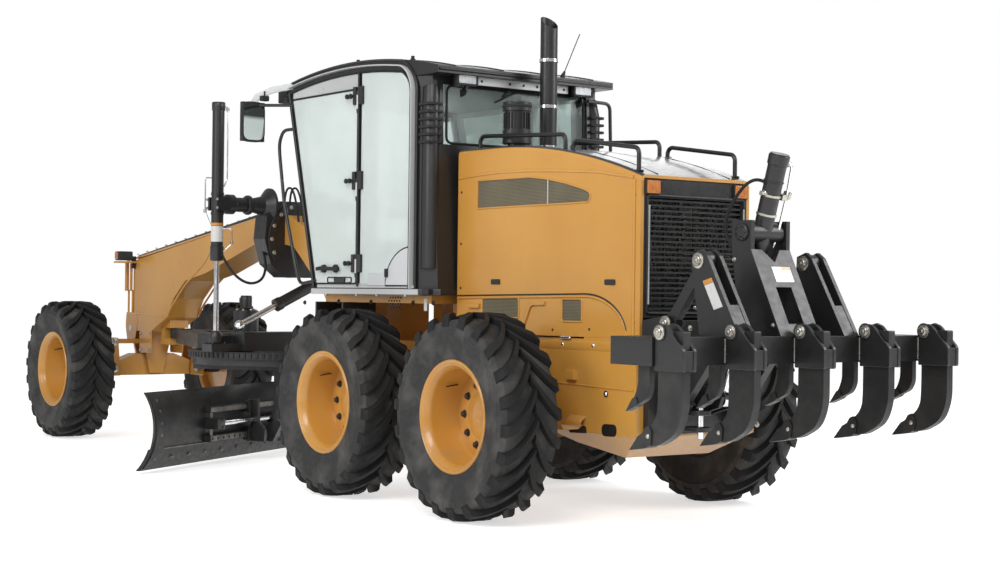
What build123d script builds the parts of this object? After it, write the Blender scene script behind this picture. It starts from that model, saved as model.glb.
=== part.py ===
"""Motor grader: a six-wheeled articulated road grader with a rear ripper.

Frame: origin on the ground under the middle of the machine, +X to the machine's left,
+Y to its rear, +Z up. All sizes are in millimetres.
"""
import os
from math import asin, atan2, cos, degrees, radians, sin

from build123d import *

os.makedirs("parts", exist_ok=True)

SIDES = (("left", 1), ("right", -1))

# ---------------------------------------------------------------- driving dimensions
run_gap = 0.3            # radial gap of a pin or shaft in its bore
side_gap = 6             # gap beside a moving eye, hub or plate
glass_thick = 8
sheet = 25               # wall of hood and cab panels

# wheels
wheelbase = 6180         # front axle to the middle of the tandems
tandem_y = 2015
front_axle_y = tandem_y - wheelbase
tandem_reach = 786       # tandem pivot to each rear axle
tyre_r = 650
tyre_width = 430
bead_r = 318
flange_r = 353
rim_half = 170
rear_track = 1020        # middle of a rear tyre from the centreline
front_track = 836
hub_z = tyre_r
stub_r = 60
hub_r = 125
carcass_r = 618          # flats of the tyre between its lugs
shoulder_r = 565
shoulder_x = 165
lug_count = 15           # on each side of the crown
lug_skew = 38
lug_width = 58
lug_depth = 60
lug_x = (12, 172)        # across the tyre, along the lug's middle line
lug_half = (lug_x[1] - lug_x[0]) / 2 / cos(radians(lug_skew))
lug_corner = lug_half * sin(radians(lug_skew)) + lug_width / 2 * cos(radians(lug_skew))
lug_step = 360 / lug_count
lug_start = -90 - lug_step / 4      # stands on the flat between corners of a left and a right lug
lug_edge_r = tyre_r / cos(asin(lug_corner / tyre_r) - radians(lug_step / 4))

# tandem cases and rear axle
case_inner_x = 590
case_outer_x = 790
case_end_r = 250
axle_tube_r = 140
differential_r = 210
tandem_pin_r = 90
tandem_pin_length = 110

# rear chassis
rail_x = (240, 330)
rail_z = (800, 1060)
tail_front_y = tandem_y + 640
tail_rear_y = tandem_y + 1700
tail_half = 490
tail_top_z = 1140
tail_low_z = 414
plate_rear_y = tail_rear_y + 45

# articulation
hitch_y = tandem_y - 2060
hitch_pin_r = 55
hitch_z = (1010, 1300)   # undersides of the rear frame's two hitch plates
hitch_plate = 50

# hood
hood_front_y = tandem_y - 110
hood_rear_y = tandem_y + 1680
hood_low_z = 1150
hood_top_z = 2392
hood_rear_z = 2143
hood_half_front = 545
hood_half_rear = 450
hood_waist_y = tandem_y + 600

# grille and tail lamps
grille_z = (1280, 2117)
grille_depth = 60
grille_border = 40
bar_count = 22
bar_thick = 12
bar_ties_x = (-240, -120, 0, 120, 240)
lamp_x = (308, 420)
lamp_z = (2026, 2112)
lamp_depth = 12
fan_centre = (17, 1796)  # X and Z of the fan behind the grille
fan_ring_r = range(340, 40, -40)
fan_y = (hood_rear_y - 50, hood_rear_y - 44)
pocket = 6               # depth of the meshed windows in the hood's sides
hood_edge_r = 40
hood_windows = (         # (Y, Z) outlines, drawn on both sides
    ((tandem_y + 116, 1983), (tandem_y + 1215, 1990), (tandem_y + 1237, 2040), (tandem_y + 1170, 2075),
     (tandem_y + 1020, 2115), (tandem_y + 840, 2150), (tandem_y + 660, 2171), (tandem_y + 116, 2171)),
    ((tandem_y + 177, 1258), (tandem_y + 570, 1258), (tandem_y + 570, 1391), (tandem_y + 177, 1391)),
    ((tandem_y + 988, 1244), (tandem_y + 1172, 1244), (tandem_y + 1172, 1385), (tandem_y + 988, 1385)),
)

# cab
cab_half = 765
cab_rear_half = 690
cab_floor_z = 1400
cab_sill_z = 1440
cab_floor_top = cab_sill_z + sheet
cab_eave_z = 2900
cab_foot_y = tandem_y - 1665      # front edge at the sill
cab_brow_y = tandem_y - 2065      # front edge at the eave
cab_b_y = tandem_y - 1030
cab_c_y = tandem_y - 330
cab_back_y = tandem_y - 130
roof_peak_z = 3075
post = 60
glass_gap = 0.3
door_thick = 40
hinge_x = cab_half + 14
hinge_y = cab_b_y - 20
hinge_z = (1600, 2150, 2780)
hinge_half = 50
knuckle_r = 11
knuckle_high = 30
work_lamps = (           # limits along X, Y and Z, on both sides
    ((600, 720), (cab_brow_y - 55, cab_brow_y - 8), (2815, cab_eave_z + 1)),
    ((455, 560), (cab_back_y - 45, cab_back_y + 40), (2830, cab_eave_z + 1)),
)
mirror_x = (900, 1090)
mirror_y = (cab_brow_y - 200, cab_brow_y - 160)
mirror_z = (2560, 2860)
mirror_arm_r = 12

# front frame
beam_half = 160
nose_y = front_axle_y - 130
nose_low_z = 1010
nose_half = 125
nose_plate = 30
attach_z = 1440          # middle of the nose plate's bolt rectangle
attach_step = (180, 420)
attach_hole_r = 13
tow_y = nose_y - 85
tow_z = (1060, 1130)
tow_plate = 25
tow_bore_r = 20
swivel_y = front_axle_y + 560
saddle_y = swivel_y + 2300
saddle_thick = 200
neck_length = hitch_y - saddle_y
cover_height = 55

# front axle
axle_pin_z = 680
axle_half_depth = 90
lean_x = 437
lean_z = 640
lean_top_z = 910
axle_pin_r = 45
axle_end_r = 58
lean_pin_r = 32
lean_bar_pin_r = 22
lean_eye_r = 38
cheek_thick = 30
kingpin_x = 512          # outer face of the lean bracket
plate_thick = 12
kingpin_axis_x = kingpin_x + 53
kingpin_r = 28
lug_r = 45
lug_thick = 30
knuckle_body_r = 46
neck_r = 42
front_hub_x = kingpin_axis_x + lug_r + 2 * side_gap
stub_length = 104

# centre-shift cylinder
centre_y = saddle_y + saddle_thick / 2 + 50
centre_pivot = (-360, centre_y, 1600)
centre_ball = (600, centre_y, 1130)

# drawbar and circle
swivel_z = 1000
swivel_r = 55
swivel_half = 45
swivel_pin_r = 25
swivel_plate_y = (-60, 64)
drawbar_pin_y = swivel_y + 135
drawbar_pin_r = 25
drawbar_eye_r = 48
drawbar_eye_half = 34
circle_y = front_axle_y + 2580
circle_r = 760
circle_bore_r = 600
circle_z = (850, 905)
lift_x = 740
lift_ball_z = 1020
lift_trunnion_z = 2130
lift_barrel_r = 50
lift_trunnion_r = 24
lift_rod_r = 22
ball_r = 42

# moldboard
blade_angle = 32
blade_length = 3860
blade_offset = -53          # middle of the blade along its own length, from the circle's centre
blade_thick = 22
edge_thick = 16
edge_top_z = 190
blade_tip = (-165, 22)       # distance behind the circle's centre line, height
blade_belly = (-28, 320)
blade_top = (-120, 625)
rail_reach = 1150
rail_low_z = (195, 250)
rail_high_z = (430, 480)
rail_rear = 35
tip_pivot = (125, 215)
arm_x = (360, 405)
arm_z = (745, 790)
carrier_x = (485, 525)
shift_axis = (68, 342)
shift_barrel_r = 38
shift_barrel_x = (-960, 250)
shift_rod_r = 20
shift_rod_x = (-340, 1110)
shift_lug = 50

# ripper
ripper_half = 1130
ripper_beam_y = (tandem_y + 2225, tandem_y + 2570)
ripper_beam_z = (1035, 1190)
ripper_pins_x = (-1065, -544, 0, 544, 1065)
ripper_pin_y = tandem_y + 2614
ripper_pin_z = 1217
ripper_rear_y = tandem_y + 2800
link_upper_x = 426
link_lower_x = 250
link_front_y = tandem_y + 1950
link_front_z = 1250
link_rear_y = tandem_y + 2231
link_rear_z = 1617
link_step_y = 90         # lower link pins sit this far ahead of the upper ones
link_step_z = 490
tower_trunnion_y = tandem_y + 2250
tower_trunnion_z = 1790
ripper_eye_y = tandem_y + 1950
ripper_eye_z = 800


# ---------------------------------------------------------------- shared shapes
def span(x, y, z, mode=Mode.ADD):
    """A block between pairs of limits along X, Y and Z."""
    middle = ((x[0] + x[1]) / 2, (y[0] + y[1]) / 2, (z[0] + z[1]) / 2)
    with Locations(middle):
        Box(abs(x[1] - x[0]), abs(y[1] - y[0]), abs(z[1] - z[0]), mode=mode)


def twins(x, y, z, mode=Mode.ADD):
    """The same block on the left and on the right."""
    for _, side in SIDES:
        span((side * x[0], side * x[1]), y, z, mode)


def prism(plane, points, depth, corner=0, mode=Mode.ADD):
    """A polygon drawn on a plane and given a depth along the plane's normal."""
    with BuildSketch(plane) as outline:
        with BuildLine():
            Polyline(*points, close=True)
        make_face()
        if corner:
            fillet(outline.vertices(), corner)
    extrude(outline.sketch, amount=depth, mode=mode)


def side_prism(points, x, corner=0, mode=Mode.ADD):
    """A (Y, Z) polygon between two X limits."""
    low, high = sorted(x)
    prism(Plane.YZ.offset(low), points, high - low, corner, mode)


def cross_prism(points, y, corner=0, mode=Mode.ADD):
    """An (X, Z) polygon between two Y limits."""
    low, high = sorted(y)
    prism(Plane.XZ.offset(-high), points, high - low, corner, mode)


def plan_prism(points, z, corner=0, mode=Mode.ADD):
    """An (X, Y) polygon between two Z limits."""
    low, high = sorted(z)
    prism(Plane.XY.offset(low), points, high - low, corner, mode)


def rod_between(start, end, radius, mode=Mode.ADD):
    """A round bar from one point to another."""
    axis = Vector(*end) - Vector(*start)
    with BuildSketch(Plane(origin=start, z_dir=axis)) as section:
        Circle(radius)
    extrude(section.sketch, amount=axis.length, mode=mode)


def tube(points, radius, bend):
    """A round bar bent along straight runs with filleted corners."""
    with BuildLine() as path:
        FilletPolyline(*points, radius=bend)
    with BuildSketch(path.line ^ 0) as section:
        Circle(radius)
    sweep(section.sketch, path=path.line)


def turned(points, centre, mode=Mode.ADD):
    """A profile of (distance along X, radius) pairs turned about an X axis."""
    x, y, z = centre
    with BuildSketch(Plane.XZ.offset(-y)) as profile:
        with BuildLine():
            Polyline(*[(x + along, z + radius) for along, radius in points], close=True)
        make_face()
    revolve(profile.sketch, axis=Axis((x, y, z), (1, 0, 0)), mode=mode)


def finish(piece, label):
    """Names a finished piece and writes its file."""
    piece.part.label = label
    export_step(piece.part, f"parts/{label}.step")


def finish_joined(solids, label):
    """One node of several solids that meet face to face, such as welded plates."""
    whole = Compound(label=label, children=[solid.part for solid in solids])
    export_step(whole, f"parts/{label}.step")


def height_at(outline, y):
    """The height of a broken line of (Y, Z) points at a Y."""
    for (y_low, z_low), (y_high, z_high) in zip(outline, outline[1:]):
        if y_low <= y <= y_high:
            return z_low + (z_high - z_low) * (y - y_low) / (y_high - y_low)


# ---------------------------------------------------------------- rear chassis
with BuildPart() as rear_frame:
    twins(rail_x, (hitch_y + 250, tail_front_y), rail_z)
    for y in (hitch_y + 380, tandem_y - 560, tandem_y + 400):
        span((-rail_x[0], rail_x[0]), (y - 60, y + 60), (rail_z[0] + 40, rail_z[1] - 40))
    # hitch block and its two plates, bored for the upright pin
    span((-rail_x[1], rail_x[1]), (hitch_y + 180, hitch_y + 300), (hitch_z[0], hitch_z[1] + hitch_plate))
    for z in (hitch_z[0], hitch_z[1]):
        span((-130, 130), (hitch_y, hitch_y + 200), (z, z + hitch_plate))
        rod_between((0, hitch_y, z), (0, hitch_y, z + hitch_plate), 130)
    rod_between((0, hitch_y, hitch_z[0] - 1), (0, hitch_y, hitch_z[1] + hitch_plate + 1),
                hitch_pin_r + run_gap, Mode.SUBTRACT)
    # axle saddles
    for side in (-1, 1):
        span((side * rail_x[0], side * rail_x[1]), (tandem_y - 190, tandem_y + 190),
             (hub_z - 20, rail_z[0]))
    # cab posts
    for y in (cab_foot_y + 150, cab_back_y - 150):
        twins((250, 420), (y - 60, y + 60), (rail_z[1] - 60, cab_floor_z - 60))
    twins((200, 700), (cab_foot_y + 60, cab_back_y - 60), (cab_floor_z - 60, cab_floor_z))
    # rear axle: the two tandem pins, the tube and the differential, as one turned shape
    tube_end = case_inner_x - side_gap
    pin_end = case_inner_x + tandem_pin_length
    half_axle = ((pin_end, tandem_pin_r), (tube_end, tandem_pin_r), (tube_end, axle_tube_r),
                 (differential_r, axle_tube_r), (differential_r / 2, differential_r))
    turned([(-pin_end, 0)] + [(-x, r) for x, r in half_axle] + [(x, r) for x, r in half_axle[::-1]]
           + [(pin_end, 0)], (0, tandem_y, hub_z))
finish(rear_frame, "rear_frame")

with BuildPart() as tail_box:
    side_prism(((tail_front_y, tail_top_z), (tail_front_y, 620), (tandem_y + 1060, tail_low_z + 70),
                (tandem_y + 1446, tail_low_z), (tail_rear_y, 560), (tail_rear_y, tail_top_z)),
               (-tail_half, tail_half))
    cross_prism(((-348, tail_low_z), (348, tail_low_z), (tail_half, 560), (tail_half, tail_top_z),
                 (-tail_half, tail_top_z), (-tail_half, 560)), (tail_front_y, tail_rear_y),
                mode=Mode.INTERSECT)
    # pads that carry the hood
    twins((420, tail_half), (tandem_y + 1200, tandem_y + 1500), (tail_top_z - 1, hood_low_z))
finish(tail_box, "tail_box")

with BuildPart() as ripper_mount:
    span((-430, 430), (tail_rear_y, plate_rear_y), (576, 1266))
    for x, y, z in ((link_upper_x, link_front_y, link_front_z),
                    (link_lower_x, link_front_y - link_step_y, link_front_z - link_step_z)):
        for side in (-1, 1):
            for offset in (-60, 35):
                side_prism(((plate_rear_y, z + 70 - max(0, z + 70 - 1266)), (plate_rear_y, z - 160),
                            (y, z - 45), (y + 45, z), (y, z + 45)),
                           (side * x + offset, side * x + offset + 25))
            rod_between((side * x - 60, y, z), (side * x + 60, y, z), 25)
    for offset in (-70, 45):
        side_prism(((plate_rear_y, ripper_eye_z + 80), (plate_rear_y, ripper_eye_z - 120),
                    (ripper_eye_y + 20, ripper_eye_z - 55), (ripper_eye_y + 50, ripper_eye_z + 10),
                    (ripper_eye_y, ripper_eye_z + 55)), (offset, offset + 25))
finish(ripper_mount, "ripper_mount")

with BuildPart() as engine_block:
    span((-rail_x[0] + 15, rail_x[0] - 15), (tandem_y + 200, tandem_y + 1200), (tail_top_z, 1950))
finish(engine_block, "engine_block")

# ---------------------------------------------------------------- tandem cases
for name, side in SIDES:
    with BuildPart() as tandem_case:
        with BuildSketch(Plane.YZ.offset(min(side * case_inner_x, side * case_outer_x))) as outline:
            with Locations((tandem_y, hub_z)):
                SlotCenterToCenter(2 * tandem_reach, 2 * case_end_r)
        extrude(outline.sketch, amount=case_outer_x - case_inner_x)
        rod_between((side * (case_inner_x - 1), tandem_y, hub_z),
                    (side * (case_inner_x + tandem_pin_length + side_gap), tandem_y, hub_z),
                    tandem_pin_r + run_gap, Mode.SUBTRACT)
        for end in (-1, 1):
            y = tandem_y + end * tandem_reach
            rod_between((side * case_outer_x, y, hub_z),
                        (side * (case_outer_x + side_gap + stub_length), y, hub_z), stub_r)
    finish(tandem_case, f"tandem_case_{name}")


# ---------------------------------------------------------------- wheels
def build_rim(centre, side, hub_start):
    """A dished wheel: barrel with two flanges, a disc set inboard and a blind hub."""
    disc = -95
    hub_from = abs(hub_start) - abs(centre[0])
    hub_to = hub_from + stub_length + 40
    turned([(side * a, r) for a, r in (
        (-rim_half, flange_r), (-rim_half, bead_r - 20), (disc - 25, bead_r - 20), (disc - 25, hub_r),
        (hub_from, hub_r), (hub_from, 0), (hub_to, 0), (hub_to, hub_r - 30), (disc, hub_r + 60),
        (disc, bead_r - 20), (rim_half, bead_r - 20), (rim_half, flange_r), (rim_half - 14, flange_r),
        (rim_half - 14, bead_r), (14 - rim_half, bead_r), (14 - rim_half, flange_r))], centre)
    rod_between((hub_start - side, centre[1], centre[2]),
                (hub_start + side * (stub_length + side_gap), centre[1], centre[2]),
                stub_r + run_gap, Mode.SUBTRACT)


def facet_ring(x_low, x_high, flat_r, taper=0, mode=Mode.ADD):
    """A many-sided disc from one X place to another, its flats at a radius at the first of them."""
    outward = 1 if x_high > x_low else -1
    with BuildSketch(Plane(origin=(x_low, 0, 0), x_dir=(0, 1, 0), z_dir=(outward, 0, 0))) as outline:
        RegularPolygon(flat_r, lug_count, major_radius=False)
    extrude(outline.sketch, amount=abs(x_high - x_low), taper=taper, mode=mode)


def tread_lug(side, turn):
    """A straight lug that leans from the crown to one shoulder."""
    out = Vector(0, cos(radians(turn)), sin(radians(turn)))
    round_way = Vector(0, -sin(radians(turn)), cos(radians(turn)))
    along = Vector(side * cos(radians(lug_skew)), 0, 0) - round_way * sin(radians(lug_skew))
    wide = along.cross(out)
    top = out * (lug_edge_r ** 2 - lug_corner ** 2) ** 0.5 + Vector(side * sum(lug_x) / 2, 0, 0)
    face = Plane(origin=top - wide * (lug_width / 2), x_dir=along, z_dir=wide)
    prism(face, ((-lug_half, -lug_depth), (-lug_half, 0), (lug_half, 0), (lug_half, -1.5 * lug_depth)), lug_width)


with BuildPart() as tyre_ring:
    # a many-sided carcass with leaning lugs, its two rows half a step apart
    tyre_half = tyre_width / 2
    shoulder_slope = degrees(atan2(carcass_r - shoulder_r, tyre_half - shoulder_x))
    wall_width = tyre_half - rim_half + 15
    wall_slope = degrees(atan2(82, wall_width))
    facet_ring(-shoulder_x, shoulder_x, carcass_r)
    for _, side in SIDES:
        facet_ring(side * shoulder_x, side * tyre_half, carcass_r, shoulder_slope)
    for side, shift in ((1, 0), (-1, 0.5)):
        for step in range(lug_count):
            tread_lug(side, (step + shift) * lug_step + lug_start)
    facet_ring(-tyre_half - 1, tyre_half + 1, bead_r + 1, mode=Mode.SUBTRACT)
    for _, side in SIDES:
        facet_ring(side * tyre_half, side * (tyre_half - wall_width), flange_r + 90, wall_slope, Mode.SUBTRACT)


WHEELS = (               # axle name, Y of the axle, track half-width, X of the hub's inner face
    ("front", front_axle_y, front_track, front_hub_x),
    ("middle", tandem_y - tandem_reach, rear_track, case_outer_x + side_gap),
    ("rear", tandem_y + tandem_reach, rear_track, case_outer_x + side_gap),
)
for axle, wheel_y, track, hub_face in WHEELS:
    for name, side in SIDES:
        wheel_centre = (side * track, wheel_y, hub_z)
        with BuildPart() as rim:
            build_rim(wheel_centre, side, side * hub_face)
        finish(rim, f"rim_{axle}_{name}")
        with BuildPart() as tyre:
            with Locations(wheel_centre):
                add(tyre_ring.part)
        finish(tyre, f"tyre_{axle}_{name}")

# ---------------------------------------------------------------- hood
arch = ((hood_front_y, hood_top_z), (tandem_y + 237, hood_top_z), (tandem_y + 1091, 2311),
        (hood_rear_y, hood_rear_z))


def build_hood_core(inset, front, rear, low):
    """The space under the hood's skin, drawn in from it by an inset."""
    with BuildSketch(Plane.YZ.offset(-hood_half_front)) as outline:
        with BuildLine():
            Polyline((rear, hood_rear_z - inset), (rear, low), (front, low),
                     (front, hood_top_z - inset), (arch[1][0], hood_top_z - inset))
            ThreePointArc((arch[1][0], hood_top_z - inset), (arch[2][0], arch[2][1] - inset),
                          (rear, hood_rear_z - inset))
        make_face()
    extrude(outline.sketch, amount=2 * hood_half_front)
    wide, narrow = hood_half_front - inset, hood_half_rear - inset
    plan_prism(((-wide, front), (wide, front), (wide - 20, hood_waist_y), (narrow, rear),
                (-narrow, rear), (20 - wide, hood_waist_y)), (low, hood_top_z), mode=Mode.INTERSECT)


with BuildPart() as hood_hollow:
    build_hood_core(sheet, hood_front_y + sheet, hood_rear_y + 10, hood_low_z - 10)

with BuildPart() as window_floor:
    build_hood_core(pocket, hood_front_y + pocket, hood_rear_y + 10, hood_low_z - 10)

with BuildPart() as window_pockets:
    for outline in hood_windows:
        side_prism(outline, (-hood_half_front - 1, hood_half_front + 1), 10)
    add(window_floor.part, mode=Mode.SUBTRACT)

with BuildPart() as hood:
    build_hood_core(0, hood_front_y, hood_rear_y, hood_low_z)
    long_edges = hood.edges().filter_by(lambda edge: edge.center().Z > hood_rear_z and abs(edge.center().X) > 300)
    fillet(long_edges.filter_by(lambda edge: edge.bounding_box().size.Y > 100), hood_edge_r)
    add(hood_hollow.part, mode=Mode.SUBTRACT)
    add(window_pockets.part, mode=Mode.SUBTRACT)
finish(hood, "hood")

with BuildPart() as grille:
    frame_x = hood_half_rear - sheet - run_gap
    window_x = frame_x - grille_border
    window_z = (grille_z[0] + grille_border, lamp_z[0] - grille_border / 2)
    span((-frame_x, frame_x), (hood_rear_y - grille_depth, hood_rear_y), grille_z)
    span((-window_x, window_x), (hood_rear_y - grille_depth - 1, hood_rear_y + 1), window_z, Mode.SUBTRACT)
    for row in range(bar_count):
        z = window_z[0] + (row + 0.5) * (window_z[1] - window_z[0]) / bar_count
        span((-window_x, window_x), (hood_rear_y - 30, hood_rear_y - 8), (z - bar_thick / 2, z + bar_thick / 2))
    for x in bar_ties_x:
        span((x - 3, x + 3), (hood_rear_y - 34, hood_rear_y - 24), window_z)
    # fan guard, rings and spokes behind the bars
    with BuildSketch(Plane.XZ.offset(-fan_y[1])) as guard:
        with Locations(fan_centre):
            for radius in fan_ring_r:
                Circle(radius + 3)
                Circle(radius - 3, mode=Mode.SUBTRACT)
            for spoke in (45, 135):
                Rectangle(2 * max(fan_ring_r), 8, rotation=spoke)
        with Locations((0, sum(window_z) / 2)):
            Rectangle(2 * window_x + 4, window_z[1] - window_z[0] + 4, mode=Mode.INTERSECT)
    extrude(guard.sketch, amount=fan_y[1] - fan_y[0])
    # tail lamps in the top corners of the frame
    for _, side in SIDES:
        span((side * lamp_x[0], side * lamp_x[1]), (hood_rear_y - 1, hood_rear_y + lamp_depth), lamp_z)
finish(grille, "grille")

with BuildPart() as exhaust:
    stack_x, stack_y = -60, tandem_y + 100
    with BuildSketch(Plane.XY.offset(hood_top_z)) as foot:
        with Locations((stack_x, stack_y)):
            Circle(60)
    extrude(foot.sketch, amount=960)
    rod_between((stack_x, stack_y, hood_top_z + 60), (stack_x, stack_y, hood_top_z + 960), 56, Mode.SUBTRACT)
    side_prism(((stack_y - 70, hood_top_z + 960), (stack_y + 70, hood_top_z + 960),
                (stack_y + 70, hood_top_z + 850)), (stack_x - 80, stack_x + 80), mode=Mode.SUBTRACT)
    # intake pre-cleaner, beside the stack
    bowl_x, bowl_y = 270, tandem_y + 180
    for low, high, radius in ((hood_top_z, 2430, 60), (2430, 2520, 98), (2520, 2650, 84), (2650, 2710, 98)):
        rod_between((bowl_x, bowl_y, low), (bowl_x, bowl_y, high), radius)
finish(exhaust, "exhaust")

with BuildPart() as hood_rails:
    for side in (-1, 1):
        for front, rear, low_front, low_rear, top_front, top_rear in (
                (tandem_y - 60, tandem_y + 880, hood_top_z - 5, 2335, 2490, 2440),
                (tandem_y + 960, tandem_y + 1600, 2320, 2160, 2400, 2310)):
            tube([(side * 400, front, low_front), (side * 400, front, top_front),
                  (side * 400, rear, top_rear), (side * 400, rear, low_rear)], 14, 45)
    add(hood.part, mode=Mode.SUBTRACT)
finish(hood_rails, "hood_rails")

# ---------------------------------------------------------------- cab
side_outline = ((cab_foot_y, cab_sill_z), (cab_back_y, cab_sill_z), (cab_back_y - 60, cab_eave_z),
                (cab_brow_y, cab_eave_z))


def front_edge(z):
    """Y of the leaning front pillar at a height."""
    share = (z - cab_sill_z) / (cab_eave_z - cab_sill_z)
    return cab_foot_y + share * (cab_brow_y - cab_foot_y)


with BuildPart() as cab_frame:
    # a full block, hollowed and then opened on each side
    side_prism(side_outline, (-cab_half, cab_half))
    plan_prism(((-cab_half, cab_brow_y), (cab_half, cab_brow_y), (cab_half, cab_c_y),
                (cab_rear_half, cab_back_y), (-cab_rear_half, cab_back_y), (-cab_half, cab_c_y)),
               (cab_sill_z, cab_eave_z), mode=Mode.INTERSECT)
    side_prism(((front_edge(cab_floor_top) + post, cab_floor_top), (cab_back_y - post, cab_floor_top),
                (cab_back_y - 60 - post, cab_eave_z - post), (cab_brow_y + post, cab_eave_z - post)),
               (post - cab_rear_half, cab_rear_half - post), mode=Mode.SUBTRACT)
    # door openings, from the front pillar to the middle post
    low, high = cab_floor_top, cab_eave_z - sheet
    side_prism(((front_edge(low) + post, low), (cab_b_y - 30, low),
                (cab_b_y - 30, high), (front_edge(high) + post, high)),
               (-cab_half - 1, cab_half + 1), mode=Mode.SUBTRACT)
    # rear side windows
    side_prism(((cab_b_y + 30, cab_sill_z + 330), (cab_c_y - 20, cab_sill_z + 330),
                (cab_c_y - 40, cab_eave_z - 60), (cab_b_y + 30, cab_eave_z - 60)),
               (-cab_half - 1, cab_half + 1), mode=Mode.SUBTRACT)
    # side shell between the posts and the inner box
    for side in (-1, 1):
        side_prism(((cab_b_y + 30, cab_sill_z + 60), (cab_c_y - 20, cab_sill_z + 60),
                    (cab_c_y - 40, cab_eave_z - 60), (cab_b_y + 30, cab_eave_z - 60)),
                   (side * (cab_rear_half - post - 1), side * (cab_half - sheet)), mode=Mode.SUBTRACT)
    # windscreen and rear window
    cross_prism(((-cab_half + post, cab_sill_z + 60), (cab_half - post, cab_sill_z + 60),
                 (cab_half - post, cab_eave_z - 60), (-cab_half + post, cab_eave_z - 60)),
                (cab_brow_y - 100, cab_b_y), mode=Mode.SUBTRACT)
    cross_prism(((-cab_rear_half + post, 2430), (cab_rear_half - post, 2430),
                 (cab_rear_half - post, cab_eave_z - 60), (-cab_rear_half + post, cab_eave_z - 60)),
                (cab_c_y, cab_back_y + 10), mode=Mode.SUBTRACT)
    # floor with the sill round it
    span((-cab_half - 10, cab_half + 10), (cab_foot_y - 20, cab_back_y + 10), (cab_floor_z, cab_sill_z))
    for _, side in SIDES:
        # mirror on its arm, from the top of the front post
        span((side * mirror_x[0], side * mirror_x[1]), mirror_y, mirror_z)
        span((side * (cab_half - 5), side * (cab_half + 12)), (cab_brow_y + 28, cab_brow_y + 64),
             (mirror_z[1] - 50, mirror_z[1]))
        rod_between((side * (cab_half + 6), cab_brow_y + 46, mirror_z[1] - 25),
                    (side * (mirror_x[0] + 60), mirror_y[0] + 20, mirror_z[1] - 20), mirror_arm_r)
        # hinge knuckles on the middle post, above and below each of the door's own
        for z in hinge_z:
            for low in (z - hinge_half - run_gap - knuckle_high, z + hinge_half + run_gap):
                rod_between((side * hinge_x, hinge_y, low), (side * hinge_x, hinge_y, low + knuckle_high), knuckle_r)
                span((side * (cab_half - 5), side * hinge_x), (hinge_y - 5, hinge_y + knuckle_r),
                     (low, low + knuckle_high))
finish(cab_frame, "cab_frame")

with BuildPart() as cab_roof:
    with BuildSketch(Plane.YZ.offset(-cab_half)) as outline:
        with BuildLine():
            Line((cab_brow_y - 60, cab_eave_z), (cab_back_y + 80, cab_eave_z))
            Line((cab_back_y + 80, cab_eave_z), (cab_back_y + 80, cab_eave_z + 50))
            ThreePointArc((cab_back_y + 80, cab_eave_z + 50), (tandem_y - 1000, roof_peak_z),
                          (cab_brow_y - 110, cab_eave_z + 90))
            Line((cab_brow_y - 110, cab_eave_z + 90), (cab_brow_y - 60, cab_eave_z))
        make_face()
    extrude(outline.sketch, amount=2 * cab_half)
    # work lamps under the roof's front and rear edges
    for x, y, z in work_lamps:
        twins(x, y, z)
finish(cab_roof, "cab_roof")

with BuildPart() as cab_glass:
    low, high = cab_sill_z + post + glass_gap, cab_eave_z - post - glass_gap
    side_prism(((front_edge(low) + 10, low), (front_edge(low) + 10 + glass_thick, low),
                (front_edge(high) + 10 + glass_thick, high), (front_edge(high) + 10, high)),
               (glass_gap + post - cab_half, cab_half - post - glass_gap))
    span((glass_gap + post - cab_rear_half, cab_rear_half - post - glass_gap),
         (cab_back_y - 60 - post / 2, cab_back_y - 60 - post / 2 + glass_thick),
         (2430 + glass_gap, cab_eave_z - post - glass_gap))
    for side in (-1, 1):
        side_prism(((cab_b_y + 30 + glass_gap, cab_sill_z + 330 + glass_gap),
                    (cab_c_y - 20 - glass_gap, cab_sill_z + 330 + glass_gap),
                    (cab_c_y - 40 - glass_gap, cab_eave_z - post - glass_gap),
                    (cab_b_y + 30 + glass_gap, cab_eave_z - post - glass_gap)),
                   (side * (cab_half - 8), side * (cab_half - 8 - glass_thick)))
finish(cab_glass, "cab_glass")

for name, side in SIDES:
    door_low, door_high = cab_sill_z + 31, cab_eave_z - 31
    door_outer = side * (cab_half + 2)
    door_inner = side * (cab_half + 2 - door_thick)
    with BuildPart() as door:
        side_prism(((front_edge(door_low) + post + 6, door_low), (cab_b_y - 36, door_low),
                    (cab_b_y - 36, door_high), (front_edge(door_high) + post + 6, door_high)),
                   (door_inner, door_outer))
        side_prism(((front_edge(1700) + post + 46, 1700), (cab_b_y - 76, 1700),
                    (cab_b_y - 76, door_high - 40), (front_edge(door_high - 40) + post + 46, door_high - 40)),
                   (side * (cab_half + 10), side * (cab_half - 60)), mode=Mode.SUBTRACT)
        for z in hinge_z:
            rod_between((side * hinge_x, hinge_y, z - hinge_half), (side * hinge_x, hinge_y, z + hinge_half), knuckle_r)
            span((door_outer, side * hinge_x), (hinge_y - 40, hinge_y), (z - hinge_half, z + hinge_half))
    finish(door, f"door_{name}")
    with BuildPart() as door_glass:
        low, high = 1700 + glass_gap, door_high - 40 - glass_gap
        side_prism(((front_edge(low) + post + 46 + glass_gap, low), (cab_b_y - 76 - glass_gap, low),
                    (cab_b_y - 76 - glass_gap, high), (front_edge(high) + post + 46 + glass_gap, high)),
                   (side * (cab_half - 12), side * (cab_half - 12 - glass_thick)))
    finish(door_glass, f"door_glass_{name}")

with BuildPart() as seat:
    span((-230, 230), (tandem_y - 900, tandem_y - 440), (cab_sill_z + 360, cab_sill_z + 470))
    span((-220, 220), (tandem_y - 500, tandem_y - 390), (cab_sill_z + 470, cab_sill_z + 1050))
finish(seat, "seat")

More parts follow.
